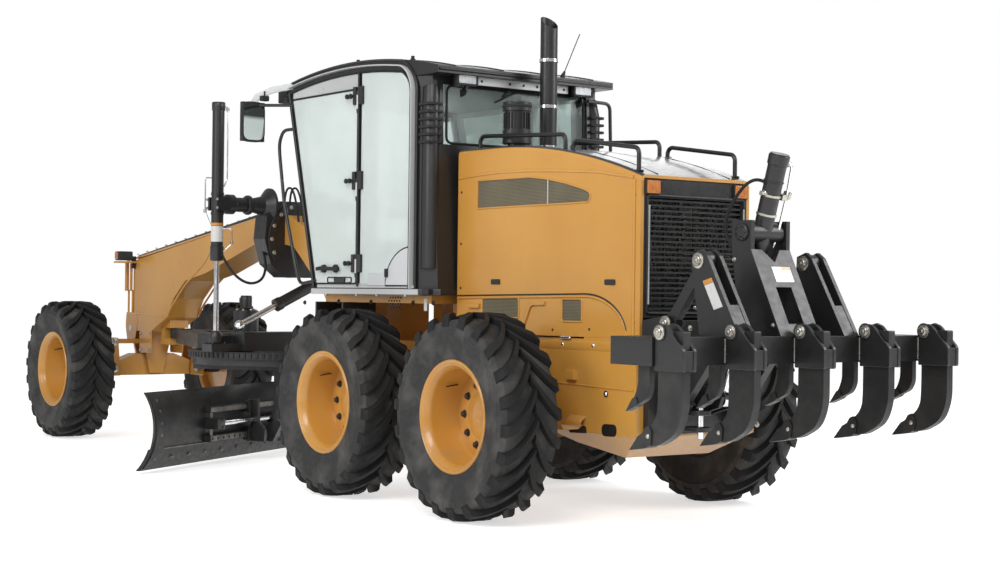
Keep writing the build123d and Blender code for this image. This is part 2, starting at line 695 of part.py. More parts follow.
with BuildPart() as cab_controls:
    span((-160, 160), (tandem_y - 850, tandem_y - 480), (cab_floor_top, cab_sill_z + 360 - glass_gap))
    span((-60, 60), (tandem_y - 1500, tandem_y - 1400), (cab_floor_top, cab_sill_z + 640))
    rod_between((0, tandem_y - 1410, cab_sill_z + 580), (0, tandem_y - 1325, cab_sill_z + 778), 25)
    with BuildSketch(Plane(origin=(0, tandem_y - 1325, cab_sill_z + 770), z_dir=(0, 0.4, 0.9))) as ring:
        Circle(190)
        Circle(165, mode=Mode.SUBTRACT)
        Rectangle(360, 30)
    extrude(ring.sketch, amount=25)
finish(cab_controls, "cab_controls")

# ---------------------------------------------------------------- front frame
beam_end_y = saddle_y + 0.885 * neck_length
beam_top = ((nose_y, 1690), (saddle_y - 200, 2062), (saddle_y + 180, 2050),
            (saddle_y + 0.563 * neck_length, 1830), (beam_end_y, 1520))
beam_low = ((nose_y, nose_low_z), (front_axle_y + 330, nose_low_z), (front_axle_y + 680, 1150),
            (front_axle_y + 820, 1330), (front_axle_y + 1070, 1500), (front_axle_y + 1500, 1572),
            (saddle_y - 300, 1850), (saddle_y + 250, 1790), (saddle_y + 0.587 * neck_length, 1420),
            (saddle_y + 0.802 * neck_length, 1066), (beam_end_y, 1066))
beam_cuts = [nose_y] + [beam_low[corner][0] for corner in (3, 4, 6, 7, 8)] + [beam_end_y]
front_solids = []
for start, end in zip(beam_cuts, beam_cuts[1:]):
    # a stretch of the beam between two of its bends
    under = [(start, height_at(beam_low, start))] + [p for p in beam_low if start < p[0] < end]
    over = [(start, height_at(beam_top, start))] + [p for p in beam_top if start < p[0] < end]
    under.append((end, height_at(beam_low, end)))
    over.append((end, height_at(beam_top, end)))
    with BuildPart() as stretch:
        side_prism(under + over[::-1], (-beam_half, beam_half))
        # nose corners cut back for the leaned and steered wheels
        for _, side in SIDES:
            plan_prism(((side * nose_half, nose_y), (side * (beam_half + 1), nose_y),
                        (side * (beam_half + 1), nose_y + 80)), (nose_low_z - 1, 1750), mode=Mode.SUBTRACT)
    front_solids.append(stretch)
with BuildPart() as hitch_knuckle:
    # it turns with its pin between the rear frame's hitch plates
    knuckle = (hitch_z[0] + hitch_plate + side_gap, hitch_z[1] - side_gap)
    span((-110, 110), (beam_end_y, hitch_y), knuckle)
    rod_between((0, hitch_y, knuckle[0]), (0, hitch_y, knuckle[1]), 120)
    rod_between((0, hitch_y, hitch_z[0] - 6), (0, hitch_y, hitch_z[1] + hitch_plate + 6), hitch_pin_r)
front_solids.append(hitch_knuckle)
hanger_inner = axle_half_depth + side_gap
for end in (-1, 1):
    with BuildPart() as axle_hanger:
        cross_prism(((-beam_half, nose_low_z), (beam_half, nose_low_z), (70, 600), (-70, 600)),
                    (front_axle_y + end * hanger_inner, front_axle_y + end * (hanger_inner + 34)))
    front_solids.append(axle_hanger)
with BuildPart() as axle_pin:
    rod_between((0, front_axle_y - hanger_inner, axle_pin_z), (0, front_axle_y + hanger_inner, axle_pin_z), axle_pin_r)
front_solids.append(axle_pin)
with BuildPart() as push_plate:
    span((-nose_half, nose_half), (nose_y - nose_plate, nose_y), (nose_low_z - 60, 1690))
    with Locations(Plane.XZ.offset(nose_plate - nose_y)):
        with Locations((0, attach_z)):
            with GridLocations(attach_step[0], attach_step[1], 2, 2):
                Hole(attach_hole_r, nose_plate)
    # tow clevis, bored for an upright pin
    for z in tow_z:
        span((-45, 45), (tow_y, nose_y - nose_plate + 1), (z, z + tow_plate))
        rod_between((0, tow_y, z), (0, tow_y, z + tow_plate), 45)
        rod_between((0, tow_y, z - 1), (0, tow_y, z + tow_plate + 1), tow_bore_r, Mode.SUBTRACT)
front_solids.append(push_plate)
with BuildPart() as swivel_bracket:
    # a fork under the beam, bored for the drawbar swivel's upright pin
    back, front = swivel_y - 130, swivel_y + swivel_plate_y[1]
    jaw = swivel_half + side_gap
    side_prism(((back, swivel_z - 110), (back, height_at(beam_low, back)), (front, height_at(beam_low, front)),
                (front, swivel_z + jaw), (swivel_y + swivel_plate_y[0], swivel_z + jaw),
                (swivel_y + swivel_plate_y[0], swivel_z - jaw), (front, swivel_z - jaw), (front, swivel_z - 110)),
               (-95, 95))
    rod_between((0, swivel_y, swivel_z - 111), (0, swivel_y, swivel_z + 96), swivel_pin_r + run_gap, Mode.SUBTRACT)
front_solids.append(swivel_bracket)
finish_joined(front_solids, "front_frame")


def cut_front_frame():
    """Takes the front frame's solids out of the piece being built."""
    for solid in front_solids:
        add(solid.part, mode=Mode.SUBTRACT)


with BuildPart() as beam_cover:
    cover_y = (nose_y + 40, saddle_y - 200, saddle_y - saddle_thick / 2 - 5)
    foot = [(y, height_at(beam_top, y)) for y in cover_y]
    side_prism(foot + [(y, z + cover_height) for y, z in foot[::-1]], (-110, 110))
finish(beam_cover, "beam_cover")

with BuildPart() as saddle:
    y_low, y_high = saddle_y - saddle_thick / 2, saddle_y + saddle_thick / 2
    cross_prism(((-150, 1530), (150, 1530), (290, 1640), (350, 1850), (330, 2050), (200, 2170),
                 (-200, 2170), (-330, 2050), (-350, 1850), (-290, 1640)), (y_low, y_high))
    for side in (-1, 1):
        rod_between((side * 250, saddle_y, lift_trunnion_z), (side * (lift_x - 80), saddle_y, lift_trunnion_z), 60)
        rod_between((side * (lift_x - 140), saddle_y, lift_trunnion_z),
                    (side * (lift_x - 80), saddle_y, lift_trunnion_z), 82)
    # ear for the centre-shift cylinder, on the rear face
    span((centre_pivot[0] - 75, centre_pivot[0] + 75), (y_high - 60, y_high),
         (centre_pivot[2] - 70, centre_pivot[2] + 70))
    rod_between((centre_pivot[0], y_high - 45, centre_pivot[2]), (centre_pivot[0], y_high + 1, centre_pivot[2]),
                28 + run_gap, Mode.SUBTRACT)
    cut_front_frame()
saddle_solids = [saddle]
for side in (-1, 1):
    for end in (-1, 1):
        # cheeks beside each lift cylinder, bored for its trunnion
        near = saddle_y + end * (lift_barrel_r + side_gap)
        with BuildPart() as cheek:
            span((side * (lift_x - 80), side * (lift_x + 45)), (near, near + end * 26),
                 (lift_trunnion_z - 55, lift_trunnion_z + 55))
            rod_between((side * lift_x, near - end, lift_trunnion_z), (side * lift_x, near + end * 27, lift_trunnion_z),
                        lift_trunnion_r + run_gap, Mode.SUBTRACT)
        saddle_solids.append(cheek)
finish_joined(saddle_solids, "saddle")

with BuildPart() as head_lamps:
    for side in (-1, 1):
        span((side * 200, side * 336), (nose_y + 5, nose_y + 110), (1700, 1785))
        span((side * beam_half, side * 201), (nose_y + 85, nose_y + 105), (1620, 1740))
finish(head_lamps, "head_lamps")

# ---------------------------------------------------------------- front axle
with BuildPart() as front_axle:
    cross_prism(((-lean_x, lean_z - axle_end_r), (lean_x, lean_z - axle_end_r), (lean_x, lean_z + axle_end_r),
                 (200, axle_pin_z + 110), (-200, axle_pin_z + 110), (-lean_x, lean_z + axle_end_r)),
                (front_axle_y - axle_half_depth, front_axle_y + axle_half_depth))
    for _, side in SIDES:
        rod_between((side * lean_x, front_axle_y - axle_half_depth, lean_z),
                    (side * lean_x, front_axle_y + axle_half_depth, lean_z), axle_end_r)
        rod_between((side * lean_x, front_axle_y - axle_half_depth - 1, lean_z),
                    (side * lean_x, front_axle_y + axle_half_depth + 1, lean_z), lean_pin_r + run_gap,
                    Mode.SUBTRACT)
    rod_between((0, front_axle_y - axle_half_depth - 1, axle_pin_z),
                (0, front_axle_y + axle_half_depth + 1, axle_pin_z), axle_pin_r + run_gap, Mode.SUBTRACT)
finish(front_axle, "front_axle")

cheek_near = axle_half_depth + side_gap
cheek_far = cheek_near + cheek_thick
yoke_low, yoke_high = lean_z - 75, lean_z + 95    # undersides of the two kingpin lugs
for name, side in SIDES:
    kingpin = side * kingpin_axis_x
    with BuildPart() as lean_bracket:
        for end in (-1, 1):
            cross_prism(((side * (lean_x - 60), lean_z - 60), (side * kingpin_x, lean_z - 60),
                         (side * kingpin_x, lean_z + 125), (side * (lean_x + 35), lean_top_z + 35),
                         (side * (lean_x - 35), lean_top_z + 35), (side * (lean_x - 60), lean_z)),
                        (front_axle_y + end * cheek_near, front_axle_y + end * cheek_far))
        for z, radius in ((lean_z, lean_pin_r), (lean_top_z, lean_bar_pin_r)):
            rod_between((side * lean_x, front_axle_y - cheek_far, z), (side * lean_x, front_axle_y + cheek_far, z),
                        radius)
        span((side * kingpin_x, side * (kingpin_x - plate_thick)), (front_axle_y - cheek_far, front_axle_y + cheek_far),
             (lean_z - 75, lean_z + 125))
        for z in (yoke_low, yoke_high):
            rod_between((kingpin, front_axle_y, z), (kingpin, front_axle_y, z + lug_thick), lug_r)
            span((side * (kingpin_x - 1), kingpin), (front_axle_y - lug_r, front_axle_y + lug_r), (z, z + lug_thick))
        rod_between((kingpin, front_axle_y, yoke_low), (kingpin, front_axle_y, yoke_high + lug_thick), kingpin_r)
    finish(lean_bracket, f"lean_bracket_{name}")
    with BuildPart() as spindle:
        rod_between((kingpin, front_axle_y, yoke_low + lug_thick + side_gap),
                    (kingpin, front_axle_y, yoke_high - side_gap), knuckle_body_r)
        rod_between((kingpin, front_axle_y, hub_z), (side * (front_hub_x + stub_length), front_axle_y, hub_z), neck_r)
        rod_between((side * (kingpin_axis_x + lug_r + side_gap), front_axle_y, hub_z),
                    (side * (front_hub_x + stub_length), front_axle_y, hub_z), stub_r)
        rod_between((kingpin, front_axle_y, yoke_low), (kingpin, front_axle_y, yoke_high + lug_thick),
                    kingpin_r + run_gap, Mode.SUBTRACT)
    finish(spindle, f"spindle_{name}")

with BuildPart() as lean_bar:
    span((-lean_x, lean_x), (front_axle_y - 40, front_axle_y + 40), (lean_top_z - 22, lean_top_z + 22))
    for _, side in SIDES:
        rod_between((side * lean_x, front_axle_y - axle_half_depth, lean_top_z),
                    (side * lean_x, front_axle_y + axle_half_depth, lean_top_z), lean_eye_r)
        rod_between((side * lean_x, front_axle_y - axle_half_depth - 1, lean_top_z),
                    (side * lean_x, front_axle_y + axle_half_depth + 1, lean_top_z),
                    lean_bar_pin_r + run_gap, Mode.SUBTRACT)
finish(lean_bar, "lean_bar")

# ---------------------------------------------------------------- drawbar, circle and blade
with BuildPart() as drawbar_swivel:
    rod_between((0, swivel_y, swivel_z - swivel_half), (0, swivel_y, swivel_z + swivel_half), swivel_r)
    rod_between((0, swivel_y, swivel_z - 118), (0, swivel_y, swivel_z + 86), swivel_pin_r)
    rod_between((0, swivel_y, swivel_z), (0, drawbar_pin_y, swivel_z), 34)
    rod_between((-drawbar_eye_half, drawbar_pin_y, swivel_z), (drawbar_eye_half, drawbar_pin_y, swivel_z),
                drawbar_eye_r)
    rod_between((-drawbar_eye_half - 1, drawbar_pin_y, swivel_z), (drawbar_eye_half + 1, drawbar_pin_y, swivel_z),
                drawbar_pin_r + run_gap, Mode.SUBTRACT)
finish(drawbar_swivel, "drawbar_swivel")

with BuildPart() as drawbar:
    plan_prism(((-90, drawbar_pin_y + 60), (90, drawbar_pin_y + 60), (560, circle_y - 420),
                (640, circle_y + 180), (-640, circle_y + 180), (-560, circle_y - 420)), (911, 1040))
    plan_prism(((-20, swivel_y + 560), (20, swivel_y + 560), (270, circle_y - 740),
                (-270, circle_y - 740)), (910, 1041), mode=Mode.SUBTRACT)
    rod_between((0, circle_y, 910), (0, circle_y, 1041), 520, Mode.SUBTRACT)
    span((-540, 540), (saddle_y - 110, saddle_y + 120), (911, 1070))
    span((-lift_x - 80, lift_x + 80), (saddle_y - 90, saddle_y + 90), (911, lift_ball_z - ball_r - 5))
    # running ring that carries the circle
    with BuildSketch(Plane.XY.offset(circle_z[0] - 25)) as ring:
        with Locations((0, circle_y)):
            Circle(circle_bore_r + 35)
            Circle(520, mode=Mode.SUBTRACT)
    extrude(ring.sketch, amount=25 - run_gap)
    with BuildSketch(Plane.XY.offset(circle_z[0] - 25)) as ring:
        with Locations((0, circle_y)):
            Circle(circle_bore_r)
            Circle(520, mode=Mode.SUBTRACT)
    extrude(ring.sketch, amount=912 - circle_z[0] + 25)
    # fork round the swivel's eye, with its pin
    for _, side in SIDES:
        span((side * (drawbar_eye_half + side_gap), side * 90), (drawbar_pin_y, drawbar_pin_y + 120),
             (swivel_z - drawbar_eye_r, swivel_z + drawbar_eye_r))
        rod_between((side * (drawbar_eye_half + side_gap), drawbar_pin_y, swivel_z),
                    (side * 90, drawbar_pin_y, swivel_z), drawbar_eye_r)
    rod_between((-90, drawbar_pin_y, swivel_z), (90, drawbar_pin_y, swivel_z), drawbar_pin_r)
    # circle drive over the front of the circle's inner teeth
    rod_between((0, circle_y - circle_bore_r, 1030), (0, circle_y - circle_bore_r, 1230), 110)
finish(drawbar, "drawbar")

blade_frame = Plane(origin=(0, circle_y, 0), x_dir=(cos(radians(blade_angle)), sin(radians(blade_angle)), 0),
                    z_dir=(0, 0, 1))


def blade_side(along):
    """The upright plane across the blade at a distance along it: local axes (behind, up)."""
    origin = blade_frame.origin + blade_frame.x_dir * along
    return Plane(origin=origin, x_dir=blade_frame.y_dir, z_dir=blade_frame.x_dir)


def blade_point(along, behind, up):
    """A point of the blade's own frame in the machine's frame."""
    return tuple(blade_frame.from_local_coords(Vector(along, behind, up)))


def blade_prism(points, along, mode=Mode.ADD):
    """A (behind, up) polygon between two distances along the blade."""
    low, high = sorted(along)
    prism(blade_side(low), points, high - low, mode=mode)


def blade_rod(along, place, radius, mode=Mode.ADD):
    """A round bar that runs along the blade at a (behind, up) place."""
    rod_between(blade_point(along[0], *place), blade_point(along[1], *place), radius, mode)


with BuildPart() as circle_ring:
    with BuildSketch(Plane.XY.offset(circle_z[0])) as ring:
        with Locations((0, circle_y)):
            Circle(circle_r)
            Circle(circle_bore_r + run_gap, mode=Mode.SUBTRACT)
    extrude(ring.sketch, amount=circle_z[1] - circle_z[0])
    with BuildSketch(Plane.XY.offset(arm_z[1])) as ring:
        with Locations((0, circle_y)):
            Circle(circle_r - 30)
            Circle(circle_bore_r + 45, mode=Mode.SUBTRACT)
    extrude(ring.sketch, amount=circle_z[0] - arm_z[1])
circle_solids = [circle_ring]
arm_shapes = (           # (behind, up) outlines: bar under the ring, gusset, leg and foot with the tip pin's bore
    ((-600, arm_z[0]), (620, arm_z[0]), (620, arm_z[1]), (-600, arm_z[1])),
    ((188, arm_z[0]), (520, arm_z[0]), (285, 600), (188, 600)),
    ((188, 600), (285, 600), (260, 300), (188, 330)),
    ((188, 330), (260, 300), (tip_pivot[0] + 60, tip_pivot[1] - 62), (tip_pivot[0] - 50, tip_pivot[1] - 62),
     (tip_pivot[0] - 50, tip_pivot[1] + 20)),
)
for side in (-1, 1):
    for shape in arm_shapes:
        with BuildPart() as arm_piece:
            blade_prism(shape, (side * arm_x[0], side * arm_x[1]))
            if shape is arm_shapes[-1]:
                blade_rod((-600, 600), tip_pivot, 30 + run_gap, Mode.SUBTRACT)
        circle_solids.append(arm_piece)
finish_joined(circle_solids, "circle")

with BuildPart() as blade_carrier:
    for side in (-1, 1):
        blade_prism(((rail_rear + 6, 160), (tip_pivot[0] + 45, 160), (tip_pivot[0] + 50, 260),
                     (110, 330), (100, 510), (rail_rear + 6, 510)), (side * carrier_x[0], side * carrier_x[1]))
        for low, high in (rail_low_z, rail_high_z):
            blade_prism(((rail_rear + side_gap, low - 30), (rail_rear + side_gap + 20, low - 30),
                         (rail_rear + side_gap + 20, high + 30), (rail_rear + side_gap, high + 30)),
                        (side * (carrier_x[0] - 60), side * (carrier_x[1] + 60)))
            for edge, step in ((low, -1), (high, 1)):
                blade_prism(((5, edge + step * run_gap), (rail_rear + side_gap + 1, edge + step * run_gap),
                             (rail_rear + side_gap + 1, edge + step * 20), (5, edge + step * 20)),
                            (side * (carrier_x[0] - 60), side * (carrier_x[1] + 60)))
    blade_rod((-carrier_x[1], carrier_x[1]), tip_pivot, 30)
    blade_rod(shift_barrel_x, shift_axis, shift_barrel_r)
    blade_rod((shift_barrel_x[0] + 30, 600), shift_axis, shift_rod_r + run_gap, Mode.SUBTRACT)
finish(blade_carrier, "blade_carrier")

with BuildPart() as shift_rod:
    blade_rod(shift_rod_x, shift_axis, shift_rod_r)
finish(shift_rod, "shift_rod")


def blade_skin(offset_low, offset_high, along):
    """The curved plate between two offsets behind the blade's front face."""
    low, high = sorted(along)
    with BuildSketch(blade_side(low)) as section:
        with BuildLine():
            front = ThreePointArc(*[(b + offset_low, z) for b, z in (blade_tip, blade_belly, blade_top)])
            back = ThreePointArc(*[(b + offset_high, z) for b, z in (blade_top, blade_belly, blade_tip)])
            Line(front @ 1, back @ 0)
            Line(back @ 1, front @ 0)
        make_face()
    extrude(section.sketch, amount=high - low)


with BuildPart() as moldboard:
    blade_skin(0, blade_thick, (blade_offset - blade_length / 2, blade_offset + blade_length / 2))
    for low, high in (rail_low_z, rail_high_z):
        blade_prism(((-25, low), (rail_rear, low), (rail_rear, high), (-25, high)), (-rail_reach, rail_reach))
    blade_prism(((-20, shift_axis[1] - 40), (shift_axis[0] + 40, shift_axis[1] - 40),
                 (shift_axis[0] + 40, shift_axis[1] + 40), (-20, shift_axis[1] + 40)),
                (shift_rod_x[1], shift_rod_x[1] + shift_lug))
    # cutting edge along the foot of the front face
    with BuildPart(mode=Mode.PRIVATE) as cutting_edge:
        blade_skin(-edge_thick, 1, (blade_offset - blade_length / 2, blade_offset + blade_length / 2))
        span((-blade_length, blade_length), (circle_y - blade_length, circle_y + blade_length), (0, edge_top_z),
             Mode.INTERSECT)
    add(cutting_edge.part)
finish(moldboard, "moldboard")

# ---------------------------------------------------------------- lift and centre-shift cylinders
for name, side in SIDES:
    x = side * lift_x
    with BuildPart() as lift_barrel:
        rod_between((x, saddle_y, 1660), (x, saddle_y, 2970), lift_barrel_r)
        trunnion_end = lift_barrel_r + 34
        rod_between((x, saddle_y - trunnion_end, lift_trunnion_z), (x, saddle_y + trunnion_end, lift_trunnion_z),
                    lift_trunnion_r)
        rod_between((x, saddle_y, 1659), (x, saddle_y, 2930), lift_rod_r + run_gap, Mode.SUBTRACT)
    finish(lift_barrel, f"lift_barrel_{name}")
    with BuildPart() as lift_rod:
        rod_between((x, saddle_y, lift_ball_z), (x, saddle_y, 1900), lift_rod_r)
        with Locations((x, saddle_y, lift_ball_z)):
            Sphere(ball_r)
    finish(lift_rod, f"lift_rod_{name}")

centre_axis = Vector(*centre_ball) - Vector(*centre_pivot)
centre_step = centre_axis.normalized()


def centre_at(distance):
    """A point on the centre-shift cylinder's axis, measured from its pivot."""
    return tuple(Vector(*centre_pivot) + centre_step * distance)


with BuildPart() as centre_barrel:
    rod_between(centre_at(0), centre_at(700), 48)
    rod_between((centre_pivot[0], centre_y - 44, centre_pivot[2]), (centre_pivot[0], centre_y + 44, centre_pivot[2]), 62)
    rod_between((centre_pivot[0], centre_y - 49, centre_pivot[2]), (centre_pivot[0], centre_y, centre_pivot[2]), 62)
    rod_between(centre_at(75), centre_at(701), 24 + run_gap, Mode.SUBTRACT)
    rod_between((centre_pivot[0], centre_y - 90, centre_pivot[2]), (centre_pivot[0], centre_y + 30, centre_pivot[2]), 28, )
finish(centre_barrel, "centre_barrel")

with BuildPart() as centre_rod:
    rod_between(centre_at(360), centre_ball, 24)
    with Locations(centre_ball):
        Sphere(ball_r)
finish(centre_rod, "centre_rod")

# ---------------------------------------------------------------- ripper
with BuildPart() as ripper_upper_links:
    for side in (-1, 1):
        x = side * link_upper_x
        side_prism(((link_front_y, link_front_z - 40), (link_rear_y + 30, link_rear_z - 30), (link_rear_y, link_rear_z + 45),
                    (link_front_y - 40, link_front_z + 10)), (x - 28, x + 28))
        for y, z in ((link_front_y, link_front_z), (link_rear_y, link_rear_z)):
            rod_between((x - 28, y, z), (x + 28, y, z), 55)
            rod_between((x - 60, y, z), (x + 60, y, z), 25 + run_gap, Mode.SUBTRACT)
finish(ripper_upper_links, "ripper_upper_links")

with BuildPart() as ripper_lower_links:
    for side in (-1, 1):
        x = side * link_lower_x
        front = (link_front_y - link_step_y, link_front_z - link_step_z)
        rear = (link_rear_y - link_step_y, link_rear_z - link_step_z)
        side_prism(((front[0], front[1] - 40), (rear[0] + 30, rear[1] - 30), (rear[0], rear[1] + 45),
                    (front[0] - 40, front[1] + 10)), (x - 28, x + 28))
        for y, z in (front, rear):
            rod_between((x - 28, y, z), (x + 28, y, z), 50)
            rod_between((x - 60, y, z), (x + 60, y, z), 25 + run_gap, Mode.SUBTRACT)
finish(ripper_lower_links, "ripper_lower_links")

beam_mid_y = (ripper_beam_y[0] + ripper_beam_y[1]) / 2
with BuildPart() as ripper_beam:
    span((-ripper_half, ripper_half), ripper_beam_y, ripper_beam_z)
    # upper link ears, standing on the beam
    for side in (-1, 1):
        x = side * link_upper_x
        for offset in (-62, 34):
            side_prism(((ripper_beam_y[0] + 20, ripper_beam_z[1]), (ripper_beam_y[1], ripper_beam_z[1]),
                        (link_rear_y + 70, link_rear_z + 30), (link_rear_y + 20, link_rear_z + 65),
                        (link_rear_y - 50, link_rear_z + 40), (link_rear_y - 55, link_rear_z - 40)),
                       (x + offset, x + offset + 28))
        rod_between((x - 62, link_rear_y, link_rear_z), (x + 62, link_rear_y, link_rear_z), 25)
        # lower link ears, on the beam's front face
        x = side * link_lower_x
        y, z = link_rear_y - link_step_y, link_rear_z - link_step_z
        for offset in (-62, 34):
            side_prism(((ripper_beam_y[0], ripper_beam_z[0]), (ripper_beam_y[0], ripper_beam_z[1]),
                        (y, z + 50), (y - 45, z), (y, z - 50)), (x + offset, x + offset + 28))
        rod_between((x - 62, y, z), (x + 62, y, z), 25)
    # centre tower
    for side in (-1, 1):
        side_prism(((ripper_beam_y[0] + 20, ripper_beam_z[1]), (ripper_beam_y[1], ripper_beam_z[1]),
                    (tower_trunnion_y + 70, 1690), (tower_trunnion_y + 70, tower_trunnion_z + 70),
                    (tower_trunnion_y - 90, tower_trunnion_z + 70), (tower_trunnion_y - 90, 1690)),
                   (side * 130, side * 160))
    side_prism(((ripper_beam_y[1] - 30, ripper_beam_z[1]), (ripper_beam_y[1], ripper_beam_z[1]),
                (tower_trunnion_y + 70, 1690), (tower_trunnion_y + 40, 1690)), (-130, 130))
    # notch and window in the tower's rear plate
    for outline in (((-75, 1691), (75, 1691), (0, 1615)), ((-62, 1260), (62, 1260), (62, 1470), (-62, 1470))):
        cross_prism(outline, (tower_trunnion_y, ripper_beam_y[1] + 10), mode=Mode.SUBTRACT)
    rod_between((-170, tower_trunnion_y, tower_trunnion_z), (170, tower_trunnion_y, tower_trunnion_z),
                32 + run_gap, Mode.SUBTRACT)
finish(ripper_beam, "ripper_beam")

with BuildPart() as ripper_shanks:
    for x in ripper_pins_x:
        # bracket cheeks on the beam's rear face, with the pin
        for side in (-1, 1):
            side_prism(((ripper_beam_y[1], ripper_beam_z[0] - 25), (ripper_rear_y, ripper_beam_z[0] - 25),
                        (ripper_rear_y, ripper_beam_z[0] + 90), (ripper_pin_y + 45, ripper_pin_z + 45),
                        (ripper_pin_y - 30, ripper_pin_z + 45), (ripper_beam_y[1], ripper_beam_z[1])),
                       (x + side * 27, x + side * 50))
        rod_between((x - 65, ripper_pin_y, ripper_pin_z), (x + 65, ripper_pin_y, ripper_pin_z), 20)
        # shank
        side_prism(((ripper_beam_y[1] + 5, 1230), (ripper_rear_y - 25, 1230), (ripper_rear_y - 25, 800),
                    (ripper_rear_y - 75, 690), (ripper_rear_y - 220, 600), (tandem_y + 2355, 567),
                    (tandem_y + 2440, 650), (ripper_rear_y - 225, 760), (ripper_beam_y[1] + 5, 860)),
                   (x - 27, x + 27))
        # scarifier tine under the beam
        side_prism(((tandem_y + 2405, ripper_beam_z[0]), (tandem_y + 2500, ripper_beam_z[0]),
                    (tandem_y + 2500, 900), (tandem_y + 2470, 850), (tandem_y + 2310, 777),
                    (tandem_y + 2395, 880), (tandem_y + 2405, 920)), (x - 18, x + 18))
finish(ripper_shanks, "ripper_shanks")

lift_line = Vector(0, ripper_eye_y, ripper_eye_z) - Vector(0, tower_trunnion_y, tower_trunnion_z)
lift_step = lift_line.normalized()


def ripper_at(distance):
    """A point on the ripper cylinder's axis, below its trunnion when positive."""
    return tuple(Vector(0, tower_trunnion_y, tower_trunnion_z) + lift_step * distance)


with BuildPart() as ripper_barrel:
    rod_between(ripper_at(-480), ripper_at(520), 56)
    rod_between((-158, tower_trunnion_y, tower_trunnion_z), (158, tower_trunnion_y, tower_trunnion_z), 32)
    rod_between((-124, tower_trunnion_y, tower_trunnion_z), (124, tower_trunnion_y, tower_trunnion_z), 60)
    rod_between(ripper_at(-440), ripper_at(521), 28 + run_gap, Mode.SUBTRACT)
finish(ripper_barrel, "ripper_barrel")

with BuildPart() as ripper_rod:
    rod_between(ripper_at(60), ripper_at(lift_line.length), 28)
    rod_between((-39, ripper_eye_y, ripper_eye_z), (39, ripper_eye_y, ripper_eye_z), 52)
finish(ripper_rod, "ripper_rod")

# ---------------------------------------------------------------- steps
with BuildPart() as steps:
    for side in (-1, 1):
        for y in (cab_foot_y + 10, cab_foot_y + 390):
            span((side * 480, side * 760), (y, y + 20), (620, cab_floor_z - 60))
        for z in (640, 900, 1160):
            span((side * 480, side * 760), (cab_foot_y + 30, cab_foot_y + 390), (z, z + 30))
finish(steps, "steps")
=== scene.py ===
"""Looks of a six-wheeled articulated motor grader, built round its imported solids, in metres.

Frame: origin on the ground under the middle, +X the machine's left, +Y its rear, +Z up.
"""

import math

import bmesh
import bpy
import numpy as np
from mathutils import Matrix, Vector


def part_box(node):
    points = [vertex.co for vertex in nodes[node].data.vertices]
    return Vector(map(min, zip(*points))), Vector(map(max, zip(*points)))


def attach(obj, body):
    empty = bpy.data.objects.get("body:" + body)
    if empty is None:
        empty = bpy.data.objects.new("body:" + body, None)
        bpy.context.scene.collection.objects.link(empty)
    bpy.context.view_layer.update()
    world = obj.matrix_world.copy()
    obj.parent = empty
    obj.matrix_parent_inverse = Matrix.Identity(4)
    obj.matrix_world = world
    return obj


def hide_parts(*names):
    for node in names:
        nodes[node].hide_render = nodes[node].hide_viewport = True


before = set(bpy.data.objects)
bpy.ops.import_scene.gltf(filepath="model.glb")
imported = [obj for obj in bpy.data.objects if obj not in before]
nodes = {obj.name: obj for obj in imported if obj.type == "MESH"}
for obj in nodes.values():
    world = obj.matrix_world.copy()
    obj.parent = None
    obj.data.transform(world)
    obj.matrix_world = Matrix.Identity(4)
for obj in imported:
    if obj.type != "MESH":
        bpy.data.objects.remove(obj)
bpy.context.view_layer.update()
SIDES = (("left", 1), ("right", -1))
AXLES = ("front", "middle", "rear")

# ------------------------------------------------------------------ camera
EYE = Vector((7.1933, 11.4983, 1.412))
YAW, PITCH, ROLL = -2.2018, 0.0076, 0.0118          # radians
SENSOR_MM, LENS_MM, FAR_CLIP = 36, 61.63, 200
camera_data = bpy.data.cameras.new("camera")
camera_data.sensor_width = SENSOR_MM
camera_data.lens = LENS_MM
camera_data.clip_end = FAR_CLIP
camera = bpy.data.objects.new("camera", camera_data)
bpy.context.scene.collection.objects.link(camera)
bpy.context.scene.camera = camera
look = Vector((math.cos(PITCH) * math.cos(YAW), math.cos(PITCH) * math.sin(YAW), math.sin(PITCH)))
level = look.cross(Vector((0, 0, 1))).normalized()
upright = level.cross(look)
right = math.cos(ROLL) * level + math.sin(ROLL) * upright
up = math.cos(ROLL) * upright - math.sin(ROLL) * level
turn = Matrix((right, up, -look)).transposed()
camera.matrix_world = Matrix.Translation(EYE) @ turn.to_4x4()
bpy.context.scene.view_settings.view_transform = "Standard"


